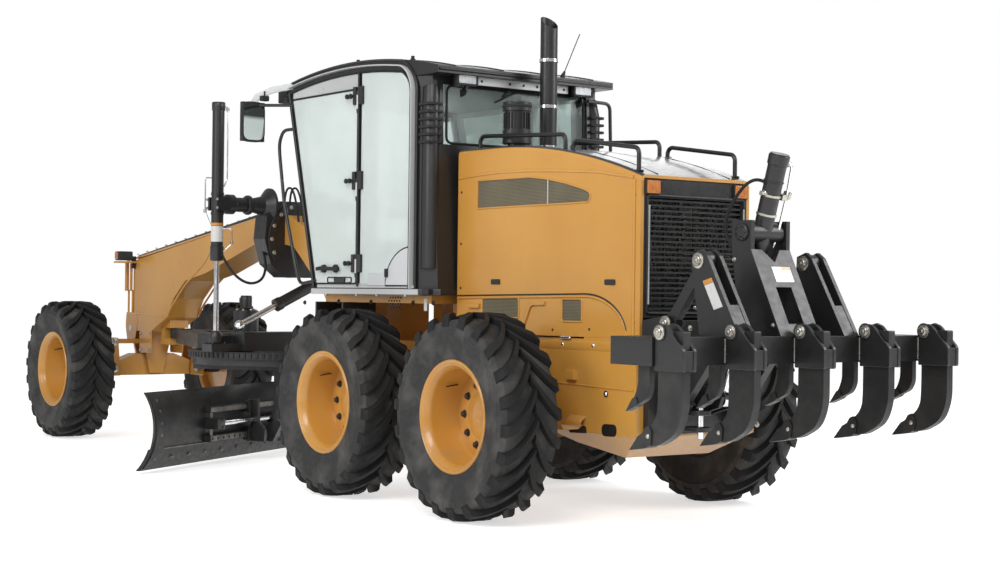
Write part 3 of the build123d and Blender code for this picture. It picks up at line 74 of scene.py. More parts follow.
# ------------------------------------------------------------------ node helpers
class Finish:
    """A procedural material: its nodes read Object coordinates, so a pattern stays on the piece."""

    def __init__(self, name):
        self.material = bpy.data.materials.new(name)
        self.material.use_nodes = True
        self.tree = self.material.node_tree
        self.shader = self.tree.nodes["Principled BSDF"]
        self.place = self.node("ShaderNodeTexCoord").outputs["Object"]

    def node(self, kind, **settings):
        made = self.tree.nodes.new(kind)
        for key, value in settings.items():
            setattr(made, key, value)
        return made

    def link(self, source, socket):
        self.tree.links.new(source, socket)

    def feed(self, socket, value):
        if isinstance(value, bpy.types.NodeSocket):
            self.link(value, socket)
        else:
            socket.default_value = value

    def sum(self, operation, first, second=0.0, third=0.0, clamp=False):
        """A Math node of two or three values."""
        made = self.node("ShaderNodeMath", operation=operation, use_clamp=clamp)
        for socket, value in zip(made.inputs, (first, second, third)):
            self.feed(socket, value)
        return made.outputs[0]

    def noise(self, scale, detail=3, stretch=(1, 1, 1), distortion=0.0):
        """Noise between 0 and 1 over the piece, with a stretch along each axis."""
        mapping = self.node("ShaderNodeMapping")
        mapping.inputs["Scale"].default_value = stretch
        self.link(self.place, mapping.inputs["Vector"])
        made = self.node("ShaderNodeTexNoise")
        made.inputs["Scale"].default_value = scale
        made.inputs["Detail"].default_value = detail
        made.inputs["Distortion"].default_value = distortion
        self.link(mapping.outputs[0], made.inputs["Vector"])
        return made.outputs["Fac"]

    def between(self, value, low, high, to_low=0.0, to_high=1.0):
        """A value's range low..high carried onto another, held at its ends."""
        made = self.node("ShaderNodeMapRange")
        for key, number in zip(("From Min", "From Max", "To Min", "To Max"), (low, high, to_low, to_high)):
            made.inputs[key].default_value = number
        self.link(value, made.inputs["Value"])
        return made.outputs[0]

    def mix(self, share, first, second):
        """A colour between two others."""
        made = self.node("ShaderNodeMix", data_type="RGBA")
        self.feed(made.inputs[0], share)
        for socket, value in ((made.inputs[6], first), (made.inputs[7], second)):
            self.feed(socket, value if isinstance(value, bpy.types.NodeSocket) else (*value, 1))
        return made.outputs[2]

    def axis(self, name):
        """One coordinate of the place on the piece."""
        made = self.node("ShaderNodeSeparateXYZ")
        self.link(self.place, made.inputs[0])
        return made.outputs[name]

    def facing(self, name="Z"):
        """One component of the surface's own direction."""
        geometry = self.node("ShaderNodeNewGeometry")
        made = self.node("ShaderNodeSeparateXYZ")
        self.link(geometry.outputs["Normal"], made.inputs[0])
        return made.outputs[name]

    def bump(self, height, distance, strength=1.0, edge=0.0):
        """Relief from a height, over edges rounded by a radius where one is given."""
        made = self.node("ShaderNodeBump")
        made.inputs["Strength"].default_value = strength
        made.inputs["Distance"].default_value = distance
        self.link(height, made.inputs["Height"])
        if edge:
            rounded = self.node("ShaderNodeBevel", samples=4)
            rounded.inputs["Radius"].default_value = edge
            self.link(rounded.outputs[0], made.inputs["Normal"])
        self.link(made.outputs[0], self.shader.inputs["Normal"])

    def set(self, **values):
        """Numbers, colours or links for the shader's own sockets."""
        for key, value in values.items():
            socket = self.shader.inputs[key.replace("_", " ").title().replace("Ior", "IOR")]
            if isinstance(value, tuple) and len(value) == 3:
                value = (*value, 1)
            self.feed(socket, value)
        return self


def painted(name, colour, shade, roughness, gloss, wear=(0.30, 0.24, 0.18), edge=0.006, dust=0.25, top=None):
    """Sprayed paint: broad colour drift, fine peel, and dust in patches, heavier low down."""
    f = Finish(name)
    drift = f.between(f.noise(1.1, 4), 0.35, 0.65)
    colour_out = f.mix(drift, colour, shade)
    if top:
        upward = f.between(f.facing(), 0.62, 0.70)
        colour_out = f.mix(upward, colour_out, top)
    grime = f.between(f.noise(7, 8, distortion=0.4), 0.50, 0.72)
    low = f.between(f.axis("Z"), 0.25, 1.15, 1.0, 0.12)
    dusty = f.sum("MULTIPLY", f.sum("MULTIPLY", grime, low), dust)
    colour_out = f.mix(dusty, colour_out, wear)
    f.set(base_color=colour_out, coat_weight=gloss, coat_roughness=0.12)
    f.set(roughness=f.between(f.noise(23, 5), 0.3, 0.7, roughness - 0.06, roughness + 0.08))
    f.bump(f.noise(420, 2), 0.0004, 0.35, edge)
    return f.material


def steel(name, colour, shade, roughness, metallic, scale=30, stretch=(1, 1, 1), edge=0.004, relief=0.0006):
    """Bare or blackened steel: blotches, streaks along one axis and a rough cast or scraped relief."""
    f = Finish(name)
    blotch = f.between(f.noise(scale / 5, 6), 0.36, 0.66)
    streak = f.noise(scale, 6, stretch)
    f.set(base_color=f.mix(blotch, colour, shade), metallic=metallic)
    f.set(roughness=f.between(streak, 0.3, 0.7, roughness - 0.08, roughness + 0.12))
    f.bump(streak, relief, 0.5, edge)
    return f.material


def rubber(name, colour, dust, scale=18):
    """Tyre and hose rubber: matt, with pale dust in patches and a fine moulded grain."""
    f = Finish(name)
    patch = f.between(f.noise(scale / 6, 7), 0.46, 0.74, 0.0, 0.55)
    f.set(base_color=f.mix(patch, colour, dust), specular_ior_level=0.35)
    f.set(roughness=f.between(f.noise(scale, 4), 0.3, 0.7, 0.62, 0.82))
    f.bump(f.noise(scale * 14, 3), 0.0006, 0.4)
    return f.material


def glass(name, tint, roughness=0.02, clear=0.86):
    """A pane: clear and faintly tinted, with a light film of dust; what it doesn't let through shows its pale
    tint, a painted reflection.
    """
    f = Finish(name)
    film = f.between(f.noise(3.5, 5), 0.4, 0.7)
    f.set(base_color=f.mix(film, tint, tuple(min(1, c * 1.05) for c in tint)), transmission_weight=clear,
          ior=1.2)
    f.set(roughness=f.between(film, 0, 1, roughness, roughness + 0.05))
    return f.material


def woven(name, wire, painted_shade_in_gaps, pitch):
    """Wire cloth: two sets of fine wires, one along the hood and one up it, with painted shade between them,
    where the holes look into the dark behind.
    """
    f = Finish(name)
    along = f.sum("SINE", f.sum("MULTIPLY", f.axis("Y"), 2 * math.pi / pitch))
    over = f.sum("SINE", f.sum("MULTIPLY", f.axis("Z"), 2 * math.pi / pitch))
    wires = f.between(f.sum("MAXIMUM", along, over), 0.1, 0.8)
    drift = f.mix(f.between(f.noise(5, 4), 0.35, 0.7), wire, tuple(0.8 * c for c in wire))
    f.set(base_color=f.mix(wires, painted_shade_in_gaps, drift), metallic=0.25)
    f.set(roughness=f.between(wires, 0, 1, 0.8, 0.5))
    f.bump(wires, 0.0015, 0.6)
    return f.material


def finned(name, colour, painted_shade_in_gaps, pitch):
    """A cooler's core: fine fins along Z with painted shade between them, and cross tubes."""
    f = Finish(name)
    fins = f.between(f.sum("SINE", f.sum("MULTIPLY", f.axis("Z"), 2 * math.pi / pitch)), -0.2, 0.6)
    tubes = f.between(f.sum("SINE", f.sum("MULTIPLY", f.axis("X"), 2 * math.pi / (5 * pitch))), 0.86, 0.95)
    shade = f.sum("MAXIMUM", fins, tubes)
    f.set(base_color=f.mix(shade, painted_shade_in_gaps, colour), metallic=0.5)
    f.set(roughness=f.between(f.noise(40, 3), 0.3, 0.7, 0.45, 0.65))
    f.bump(shade, 0.002, 0.6)
    return f.material


def painted_mirror_reflection(name, colour, shade, level):
    """Mirror glass with a painted reflection: bright below a height and dark above it, with a soft edge
    between.
    """
    f = Finish(name)
    split = f.between(f.sum("ADD", f.axis("Z"), f.sum("MULTIPLY", f.noise(9, 2), 0.03)), level, level + 0.03)
    f.set(base_color=f.mix(split, colour, shade), metallic=0.75)
    f.set(roughness=f.between(f.noise(14, 3), 0.3, 0.7, 0.03, 0.08))
    return f.material


def moulded_glass(name, colour, deep, pitch=0.012):
    """A lamp's lens: coloured plastic with moulded ribs and a tone that drifts at random."""
    f = Finish(name)
    ribs = f.sum("SINE", f.sum("MULTIPLY", f.axis("X"), 2 * math.pi / pitch))
    f.set(base_color=f.mix(f.between(f.noise(30, 2), 0.35, 0.65), colour, deep), coat_weight=0.7,
          coat_roughness=0.05)
    f.set(roughness=f.between(ribs, -1, 1, 0.12, 0.28), transmission_weight=0.35)
    f.bump(ribs, 0.001, 0.5)
    return f.material


ORANGE = (0.630, 0.315, 0.060)
ORANGE_SHADE = (0.560, 0.262, 0.044)
BLACK = (0.009, 0.009, 0.0095)
BLACK_SHADE = (0.014, 0.014, 0.0145)
paint_orange = painted("orange_paint", ORANGE, ORANGE_SHADE, 0.36, 0.45)
paint_hood = painted("hood_paint", ORANGE, ORANGE_SHADE, 0.34, 0.5, top=(0.035, 0.035, 0.037))
paint_black = painted("satin_black_paint", BLACK, BLACK_SHADE, 0.42, 0.12, wear=(0.10, 0.09, 0.08))
paint_grey = painted("pale_grey_paint", (0.66, 0.67, 0.68), (0.58, 0.59, 0.60), 0.38, 0.3,
                     wear=(0.4, 0.38, 0.34))
steel_dark = steel("blackened_steel", (0.017, 0.017, 0.018), (0.038, 0.037, 0.035), 0.42, 0.35)
steel_cut = steel("cutting_steel", (0.10, 0.095, 0.09), (0.22, 0.20, 0.18), 0.42, 0.85, 60, (1, 1, 8))
chrome = steel("rod_chrome", (0.80, 0.81, 0.82), (0.70, 0.71, 0.73), 0.12, 1.0, 90, (1, 1, 0.1),
               relief=0.0001)
tyre_rubber = rubber("tyre_rubber", (0.008, 0.008, 0.0085), (0.024, 0.023, 0.021))
tyre_wall = rubber("tyre_wall", (0.030, 0.030, 0.030), (0.155, 0.150, 0.140), 30)
hose_rubber = rubber("hose_rubber", (0.012, 0.012, 0.013), (0.035, 0.034, 0.032), 60)
pane = glass("cab_glass", (0.80, 0.88, 0.86))
plastic = rubber("black_plastic", (0.020, 0.020, 0.021), (0.045, 0.044, 0.042), 40)
seat_cloth = rubber("seat_cloth", (0.035, 0.035, 0.040), (0.07, 0.07, 0.075), 90)
# the dark second colours of the wire cloth and the cooler core are painted shade in the holes and between the
# fins
hood_mesh = woven("hood_mesh", (0.235, 0.205, 0.13), (0.055, 0.048, 0.034), 0.009)
cooler_fins = finned("cooler_fins", (0.34, 0.34, 0.34), (0.03, 0.03, 0.03), 0.006)
lamp_amber = moulded_glass("lamp_amber", (0.90, 0.32, 0.05), (0.80, 0.22, 0.03))
lamp_clear = moulded_glass("lamp_clear", (0.80, 0.82, 0.83), (0.62, 0.65, 0.68))
trim_silver = painted("trim_silver", (0.55, 0.56, 0.56), (0.48, 0.49, 0.49), 0.32, 0.35,
                      wear=(0.35, 0.34, 0.32))
seal_rubber = rubber("seal_rubber", (0.012, 0.012, 0.013), (0.028, 0.027, 0.026), 70)
# the door and side panes are painted pale: more than half of them is a diffuse white-green, a painted
# reflection of the bright surroundings
pane_painted_reflection = glass("pane_painted_reflection", (0.84, 0.90, 0.88), 0.04, 0.42)
# the mirror's glass carries a painted reflection: pale below 2.74 m, nearly black above
mirror_painted_reflection = painted_mirror_reflection("mirror_painted_reflection", (0.72, 0.76, 0.74), (0.05, 0.055, 0.05), 2.74)
zinc = steel("zinc_plate", (0.50, 0.48, 0.43), (0.36, 0.34, 0.30), 0.30, 0.9, 50, relief=0.0003)
label_band = painted("label_band", (0.72, 0.30, 0.05), (0.62, 0.25, 0.04), 0.30, 0.5)
label_blank = painted("label_blank", (0.74, 0.74, 0.72), (0.68, 0.68, 0.66), 0.30, 0.5, wear=(0.4, 0.36, 0.3))
NODES_OF_FINISHES = (
    (paint_orange, "rear_frame tail_box front_frame tandem_case_left tandem_case_right front_axle"
                   " lean_bracket_left lean_bracket_right lean_bar"),
    (paint_hood, "hood"),
    (paint_black, "ripper_mount exhaust hood_rails cab_frame cab_roof steps beam_cover saddle drawbar circle"
                  " blade_carrier lift_barrel_left lift_barrel_right centre_barrel ripper_upper_links"
                  " ripper_lower_links ripper_beam ripper_barrel"),
    (paint_grey, "door_left door_right"),
    (steel_dark, "engine_block spindle_left spindle_right drawbar_swivel moldboard ripper_shanks"),
    (chrome, "shift_rod lift_rod_left lift_rod_right centre_rod ripper_rod"),
    (plastic, "grille cab_controls head_lamps"),
    (pane, "cab_glass door_glass_left door_glass_right"),
    (seat_cloth, "seat"),
)
NODE_FINISH = {name: finish for finish, names in NODES_OF_FINISHES for name in names.split()}
for axle in AXLES:
    for name, _ in SIDES:
        NODE_FINISH[f"rim_{axle}_{name}"] = paint_orange
        NODE_FINISH[f"tyre_{axle}_{name}"] = tyre_rubber
for name, node in nodes.items():
    node.data.materials.clear()
    node.data.materials.append(NODE_FINISH[name])


# ------------------------------------------------------------------ shapes
# A shape is its points, one row each, and a list of face arrays with the same number of corners in each.
REAR, FRONT, RIPPER = "rear_frame", "front_frame", "ripper_carriage"     # the bodies that carry most pieces


def unit(vectors):
    """Vectors with their length taken out."""
    vectors = np.asarray(vectors, float)
    return vectors / np.linalg.norm(vectors, axis=-1, keepdims=True)


def grid(points, close_rows=False, close_columns=True):
    """Quads over rows and columns of points, each corner joined to the next along both."""
    rows, columns = points.shape[:2]
    index = np.arange(rows * columns).reshape(rows, columns)
    index = np.vstack((index, index[:1])) if close_rows else index
    index = np.hstack((index, index[:, :1])) if close_columns else index
    quads = np.stack((index[:-1, :-1], index[1:, :-1], index[1:, 1:], index[:-1, 1:]), -1)
    return points.reshape(-1, 3), [quads.reshape(-1, 4)]


def capped(points):
    """A grid of rings with its first and last ring filled."""
    flat, faces = grid(points)
    rows, columns = points.shape[:2]
    first = np.arange(columns)[None]
    return flat, faces + [first, first[:, ::-1] + (rows - 1) * columns]


def joined(*shapes):
    """Several shapes as one: their points and faces one after another."""
    starts = np.cumsum([0] + [len(points) for points, _ in shapes[:-1]])
    faces = [face + start for (_, group), start in zip(shapes, starts) for face in group]
    return np.concatenate([points for points, _ in shapes]), faces


def copies(shape, places):
    """One shape at many places, each a 4x4 matrix."""
    points, faces = shape
    places = np.array([np.array(place) for place in places])
    moved = np.einsum("kij,nj->kni", places[:, :3, :], np.c_[points, np.ones(len(points))])
    shift = np.arange(len(places))[:, None, None] * len(points)
    return moved.reshape(-1, 3), [(face[None] + shift).reshape(-1, face.shape[1]) for face in faces]


def at(*place):
    """A matrix that moves to a place."""
    return Matrix.Translation(place)


def turned(angle, axis="X"):
    """A matrix that turns by degrees about an axis."""
    return Matrix.Rotation(math.radians(angle), 4, axis)


def spots(places):
    """Matrices that move to each of several places."""
    return [at(*place) for place in places]


def facing(direction):
    """A matrix that turns +X onto a direction."""
    return Vector(direction).to_track_quat("X", "Z").to_matrix().to_4x4()


UPWARD, FORWARD, BACKWARD = facing((0, 0, 1)), facing((0, -1, 0)), facing((0, 1, 0))


def outward(side):
    """A matrix that points +X away from the machine's middle: no turn on side 1, half a turn on side -1."""
    return turned(90 - side * 90, "Z")


def mirrored(shape):
    """The same shape on the other side: X changes its sign."""
    points, faces = shape
    return points * (-1, 1, 1), [face[:, ::-1] for face in faces]


def on_both(shape):
    """A shape and its mirror image."""
    return joined(shape, mirrored(shape))


def lathe(profile, steps=48, closed=False):
    """A (distance along X, radius) outline carried round the X axis; a radius of 0 closes on the axis."""
    along, radius = np.asarray(profile, float).T
    angle = np.linspace(0, 2 * np.pi, steps, endpoint=False)
    ring = np.stack((np.zeros(steps), np.cos(angle), np.sin(angle)), -1)
    return grid(along[:, None, None] * (1, 0, 0) + radius[:, None, None] * ring, close_rows=closed)


def lathe_closed(profile, steps=48):
    """The same for a closed outline that stays clear of the axis."""
    return lathe(profile, steps, closed=True)


def disc(start, end, radius, steps):
    """A plain disc between two distances along X."""
    return lathe(((start, 0), (start, radius), (end, radius), (end, 0)), steps)


def collar(start, end, inner, outer, steps):
    """A plain ring between two distances along X and two radii."""
    return lathe_closed(((start, inner), (start, outer), (end, outer), (end, inner)), steps)


def hoop(radius, thick, steps, sides):
    """A ring of round wire about the X axis: a small circle carried round a large one."""
    turn = np.linspace(0, 2 * np.pi, sides, endpoint=False)
    return lathe_closed(np.c_[thick * np.cos(turn), radius + thick * np.sin(turn)], steps)


def bent(corners, radius, steps=6):
    """A route through corners, each rounded by a parabola that starts and ends a radius from it."""
    corners = np.asarray(corners, float)
    before, corner, after = corners[:-2], corners[1:-1], corners[2:]
    start, end = corner + radius * unit(before - corner), corner + radius * unit(after - corner)
    t = np.linspace(0, 1, steps)[None, :, None]
    arcs = (1 - t) ** 2 * start[:, None] + 2 * t * (1 - t) * corner[:, None] + t ** 2 * end[:, None]
    return np.vstack((corners[:1], arcs.reshape(-1, corners.shape[1]), corners[-1:]))


def rounded(outline, radius, steps=5):
    """A closed outline with each corner rounded as in bent."""
    outline = np.asarray(outline, float)
    return bent(np.vstack((outline[-1:], outline, outline[:1])), radius, steps)[1:-1]


def rectangle(low, high, radius, steps=5):
    """A rectangle between two corners, its own corners rounded."""
    (left, foot), (right, top) = low, high
    return rounded(((left, foot), (right, foot), (right, top), (left, top)), radius, steps)


def carried(section, route, across=(0, 0, 1), closed=False):
    """A closed section carried along a route: its first axis lies square to the run and to across."""
    route, section = np.asarray(route, float), np.asarray(section, float)
    ahead = np.roll(route, -1, 0) - np.roll(route, 1, 0) if closed else np.gradient(route, axis=0)
    run = unit(ahead)
    side = unit(np.cross(run, across))
    over = np.cross(side, run)
    rings = route[:, None] + section[None, :, :1] * side[:, None] + section[None, :, 1:] * over[:, None]
    return grid(rings, close_rows=True) if closed else capped(rings)


def disc_outline(radius, steps=12, squash=1.0):
    """Points round a circle, or round an ellipse where squash isn't 1."""
    angle = np.linspace(0, 2 * np.pi, steps, endpoint=False)
    return np.c_[radius * np.cos(angle), radius * squash * np.sin(angle)]


def box_outline(width, height, corner=0.0):
    """A rectangle about its middle, with rounded corners where a radius is given."""
    w, h = width / 2, height / 2
    outline = np.array(((w, -h), (w, h), (-w, h), (-w, -h)))
    return rounded(outline, corner, 4) if corner else outline


def rod(route, radius, across=(0, 0, 1), sides=12, closed=False):
    """A round bar along a route."""
    return carried(disc_outline(radius, sides), route, across, closed)


def strap(route, width, thick, across=(0, 0, 1), corner=0.0):
    """A flat bar along a route, its width square to across."""
    return carried(box_outline(width, thick, corner), route, across)


AXIS_ORDER = {"X": (2, 0, 1), "Y": (0, 2, 1), "Z": (0, 1, 2)}


def slab(outline, low, high, axis="X"):
    """A flat outline given a thickness between two places on an axis.

    The outline is (Y, Z) points for X, (X, Z) points for Y and (X, Y) points for Z.
    """
    outline = np.asarray(outline, float)
    levels = np.array((low, high), float)
    points = np.zeros((2, len(outline), 3))
    points[..., AXIS_ORDER[axis].index(2)] = levels[:, None]
    points[..., AXIS_ORDER[axis].index(0)] = outline[:, 0]
    points[..., AXIS_ORDER[axis].index(1)] = outline[:, 1]
    return capped(points)


def block(low, high, corner=0.0, axis="X"):
    """A box between two corners, its edges along one axis rounded by a radius."""
    low, high = np.minimum(low, high), np.maximum(low, high)
    first, second, third = (AXIS_ORDER[axis].index(k) for k in (0, 1, 2))
    middle, size = (low + high) / 2, high - low
    outline = box_outline(size[first], size[second], corner) + (middle[first], middle[second])
    return slab(outline, low[third], high[third], axis)


def frame_ring(outline, width, low, high, axis="X"):
    """A flat frame: the outline, and the same outline drawn in by a width, joined all round."""
    outline = np.asarray(outline, float)
    middle = (outline.max(0) + outline.min(0)) / 2
    half = (outline.max(0) - outline.min(0)) / 2
    inner = middle + (outline - middle) * (half - width) / half
    outer_points, _ = slab(outline, low, high, axis)
    inner_points, _ = slab(inner, low, high, axis)
    count = len(outline)
    rings = np.stack((outer_points[:count], outer_points[count:], inner_points[count:], inner_points[:count]))
    return grid(rings, close_rows=True)


def bolt(size=0.016, height=0.012):
    """A hexagon head on a washer, pointing along +X."""
    head = lathe(((0.003, 0), (0.003, size), (height * 0.8, size), (height, size * 0.84), (height, 0)), 6)
    washer = lathe(((-0.002, 0), (-0.002, size * 1.35), (0.003, size * 1.35), (0.004, size * 1.2),
                    (0.004, 0)), 16)
    return joined(head, washer)


def bolts(places, direction=(1, 0, 0), size=0.016, height=0.012):
    """Bolt heads at places, all pointing one way."""
    turn = facing(direction)
    return copies(bolt(size, height), [at(*place) @ turn for place in places])


def dome(radius, height):
    """A round button that points along +X: a quarter ellipse turned about X."""
    angle = np.linspace(0, np.pi / 2, 5)
    profile = np.vstack(((0, 0), np.c_[height * np.sin(angle), radius * np.cos(angle)]))
    profile[-1, 1] = 0
    return lathe(profile, 16)


def piece(name, shape, finish, body, sharp=35, bevel=0.0, replaces=()):
    """A mesh object of a shape, on its body, with its doubled points merged and its faces outward."""
    points, faces = shape
    mesh = bpy.data.meshes.new(name)
    corners = np.concatenate([face.ravel() for face in faces])
    totals = np.concatenate([np.full(len(face), face.shape[1]) for face in faces])
    mesh.vertices.add(len(points))
    mesh.vertices.foreach_set("co", np.ascontiguousarray(points, np.float32).ravel())
    mesh.loops.add(len(corners))
    mesh.loops.foreach_set("vertex_index", corners.astype(np.int32))
    mesh.polygons.add(len(totals))
    mesh.polygons.foreach_set("loop_start", (np.cumsum(totals) - totals).astype(np.int32))
    mesh.update(calc_edges=True)
    work = bmesh.new()
    work.from_mesh(mesh)
    bmesh.ops.remove_doubles(work, verts=work.verts, dist=1e-6)
    bmesh.ops.recalc_face_normals(work, faces=work.faces)
    work.to_mesh(mesh)
    work.free()
    mesh.shade_smooth()
    mesh.set_sharp_from_angle(angle=math.radians(sharp))
    made = bpy.data.objects.new(name, mesh)
    bpy.context.scene.collection.objects.link(made)
    mesh.materials.append(finish)
    if bevel:
        edge = made.modifiers.new("edges", "BEVEL")
        edge.width = bevel
        edge.segments = 2
        edge.limit_method = "ANGLE"
        edge.harden_normals = True
    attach(made, body)
    if replaces:
        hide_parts(*replaces)
    return made


def pair(name, shape, *rest, **settings):
    """A piece made of a shape and its mirror image."""
    return piece(name, on_both(shape), *rest, **settings)


def hose(name, points, diameter, body):
    """A rubber hose along a smooth line through listed points."""
    curve = bpy.data.curves.new(name, "CURVE")
    curve.dimensions = "3D"
    line = curve.splines.new("NURBS")
    line.points.add(len(points) - 1)
    for spot, point in zip(line.points, points):
        spot.co = (*point, 1)
    line.order_u = 3
    line.use_endpoint_u = True
    made = bpy.data.objects.new(name, curve)
    bpy.context.scene.collection.objects.link(made)
    route = np.array([spot.co for spot in bpy.data.meshes.new_from_object(made).vertices])
    curve.bevel_depth = diameter / 2
    curve.use_fill_caps = True
    curve.materials.append(hose_rubber)
    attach(made, body)
    np.linalg.norm(np.diff(route, axis=0), axis=1).sum()


def limits(node):
    """The low and high corners of a node's box."""
    low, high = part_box(node)
    return np.array(low), np.array(high)


def middle(node):
    """The middle of a node's box."""
    low, high = limits(node)
    return (low + high) / 2


# ------------------------------------------------------------------ wheels
LUGS = 22                # on each half of the tread
LUG_SWEEP = math.radians(21)
TYRE_WALL = np.array((   # distance out from the tyre's middle and radius, bead to crown
    (0.150, 0.318), (0.168, 0.324), (0.176, 0.345), (0.172, 0.362), (0.176, 0.400), (0.188, 0.440),
    (0.202, 0.478), (0.209, 0.505), (0.212, 0.520), (0.215, 0.524), (0.213, 0.529), (0.210, 0.548),
    (0.204, 0.572), (0.198, 0.585), (0.188, 0.594), (0.150, 0.601), (0.080, 0.606), (0.0, 0.608)))
TYRE_SECTION = np.vstack((TYRE_WALL, TYRE_WALL[-2::-1] * (-1, 1)))


def tyre_lugs():
    """Curved lugs: from the crown each sweeps back to the shoulder, then drops over the wall's edge.

    Along a lug t runs from 0 to 1: its place across the tyre grows with t, its turn about the wheel by
    1 - (1 - t) ** 1.8, and its top falls from the tread's radius over the shoulder.
    """
    t = np.linspace(0, 1, 11)
    across = np.interp(t, (0, 0.86, 0.94, 1), (-0.010, 0.186, 0.206, 0.213))
    top = np.interp(t, (0, 0.5, 0.86, 0.94, 1), (0.648, 0.647, 0.640, 0.615, 0.566))
    root = np.interp(t, (0, 0.86, 0.94, 1), (0.596, 0.585, 0.560, 0.540))
    sweep = -LUG_SWEEP * (1 - (1 - t) ** 1.8)
    wide = np.interp(t, (0, 0.25, 0.8, 1), (0.020, 0.024, 0.030, 0.034))
    base = wide + 0.010
    corners = [(root, sweep - base / root), (top, sweep - wide / top), (top, sweep + wide / top),
               (root, sweep + base / root)]
    rings = np.stack([np.stack((across - (0.014 if radius is root else 0) * (t > 0.9), radius * np.cos(angle),
                                radius * np.sin(angle)), -1) for radius, angle in corners], 1)
    one = capped(rings)
    step = 360 / LUGS
    left = copies(one, [turned(step * count) for count in range(LUGS)])
    other = mirrored(copies(one, [turned(step * (count + 0.5)) for count in range(LUGS)]))
    return joined(left, other)


RIM_SECTION = (          # distance out from the wheel's middle and radius: outer lip, barrel, inner lip
    (0.172, 0.356), (0.180, 0.353), (0.184, 0.346), (0.181, 0.338), (0.174, 0.334), (0.171, 0.329),
    (0.174, 0.325), (0.171, 0.319), (0.163, 0.315), (0.150, 0.300), (0.120, 0.292), (-0.070, 0.290),
    (-0.080, 0.284), (-0.150, 0.290), (-0.163, 0.315), (-0.172, 0.346), (-0.168, 0.356), (-0.150, 0.330),
    (-0.140, 0.306), (0.140, 0.306), (0.152, 0.330), (0.162, 0.352))
DISC_SECTION = (
    (-0.086, 0), (-0.066, 0), (-0.066, 0.060), (-0.061, 0.066), (-0.058, 0.150), (-0.061, 0.157),
    (-0.058, 0.164), (-0.062, 0.235), (-0.076, 0.286), (-0.090, 0.290), (-0.096, 0.240), (-0.086, 0))


def nut_ring():
    """Wheel nuts on their washers, evenly round the disc, each with the end of its stud."""
    along, radius, count = -0.060, 0.195, 10
    one = joined(copies(bolt(0.019, 0.022), [at(along, radius, 0)]),
                 copies(dome(0.009, 0.010), [at(along + 0.020, radius, 0)]))
    return copies(one, [turned(360 / count * step) for step in range(count)])


for axle in AXLES:
    for name, side in SIDES:
        wheel = f"wheel_{axle}_{name}"
        centre = middle(f"tyre_{axle}_{name}")
        # mirrored, not turned, on the right, so that the lugs point the same way on both sides
        place = at(*centre) @ Matrix.Diagonal((side, 1, 1, 1))
        piece(f"tyre_casing_{axle}_{name}", copies(lathe_closed(TYRE_SECTION, 96), [place]), tyre_wall,
              wheel, sharp=28, replaces=(f"tyre_{axle}_{name}",))
        piece(f"tyre_tread_{axle}_{name}", copies(tyre_lugs(), [place]), tyre_rubber, wheel, sharp=28)
        rim = copies(joined(lathe_closed(RIM_SECTION, 72), lathe(DISC_SECTION, 72)), [place])
        piece(f"rim_shell_{axle}_{name}", rim, paint_orange, wheel, sharp=50,
              replaces=(f"rim_{axle}_{name}",))
        piece(f"wheel_nuts_{axle}_{name}", copies(nut_ring(), [place]), paint_black, wheel)
        valve = rod(((-0.02, 0.286, 0), (0.03, 0.280, 0), (0.075, 0.270, 0)), 0.004)
        piece(f"tyre_valve_{axle}_{name}", copies(valve, [place @ turned(140)]), steel_dark, wheel)

# ------------------------------------------------------------------ hood and tail
hood_low, hood_high = limits("hood")
tail_low, tail_high = limits("tail_box")
AXLE_Y = (middle("tyre_rear_left")[1] + middle("tyre_middle_left")[1]) / 2
HOOD_FRONT, HOOD_REAR = hood_low[1], hood_high[1]


def hood_side(y):
    """How far out the hood's left side stands at a Y: widest in front, drawn in towards the rear."""
    return np.interp(y, (HOOD_FRONT, AXLE_Y + 0.600, HOOD_REAR), (0.545, 0.525, 0.450))


def hood_panel(run, low, high, out, thick):
    """A skin on the hood's side between two lines of (Y, Z) heights, standing out by a distance."""
    run = np.asarray(run, float)
    face = hood_side(run) + out
    ring = ((face, low), (face, high), (face - thick, high), (face - thick, low))
    return capped(np.stack([np.stack((x, run, z + 0 * run), -1) for x, z in ring], 1))


def hood_line(points):
    """A route on the hood's side through (Y, Z) points given in order of Y."""
    y, z = np.asarray(points, float).T
    run = np.linspace(y[0], y[-1], 40)
    return np.c_[hood_side(run), run, np.interp(run, y, z)]


def on_hood(points, out=0.0):
    """Places on the hood's side from (Y, Z) pairs, with Y measured from the rear axles' middle."""
    return [(hood_side(AXLE_Y + y) + out, AXLE_Y + y, z) for y, z in points]


WINDOW_Y = AXLE_Y + np.array((0.116, 0.66, 0.84, 1.02, 1.17, 1.215, 1.237))
WINDOW_TOP = np.array((2.171, 2.171, 2.150, 2.115, 2.075, 2.060, 2.040))
WINDOW_FOOT = np.array((1.983, 1.986, 1.987, 1.988, 1.990, 1.990, 2.010))
LOWER_WINDOWS = (        # Y from and to, measured from the rear axles' middle, then Z from and to
    (0.177, 0.570, 1.258, 1.391), (0.988, 1.172, 1.244, 1.385))
meshes = [hood_panel(WINDOW_Y, WINDOW_FOOT + 0.006, WINDOW_TOP - 0.006, -0.002, 0.004)]
borders = [np.vstack((np.c_[WINDOW_Y, WINDOW_FOOT], np.c_[WINDOW_Y, WINDOW_TOP][::-1]))]
for start, end, foot, top in LOWER_WINDOWS:
    run = AXLE_Y + np.linspace(start + 0.005, end - 0.005, 6)
    meshes.append(hood_panel(run, foot + 0.005, top - 0.005, -0.002, 0.004))
    borders.append(rectangle((AXLE_Y + start, foot), (AXLE_Y + end, top), 0.015))
pair("hood_mesh", joined(*meshes), hood_mesh, REAR)
rims = [carried(disc_outline(0.006, 8), np.c_[hood_side(line[:, 0]) + 0.001, line], (1, 0, 0), closed=True)
        for line in borders]
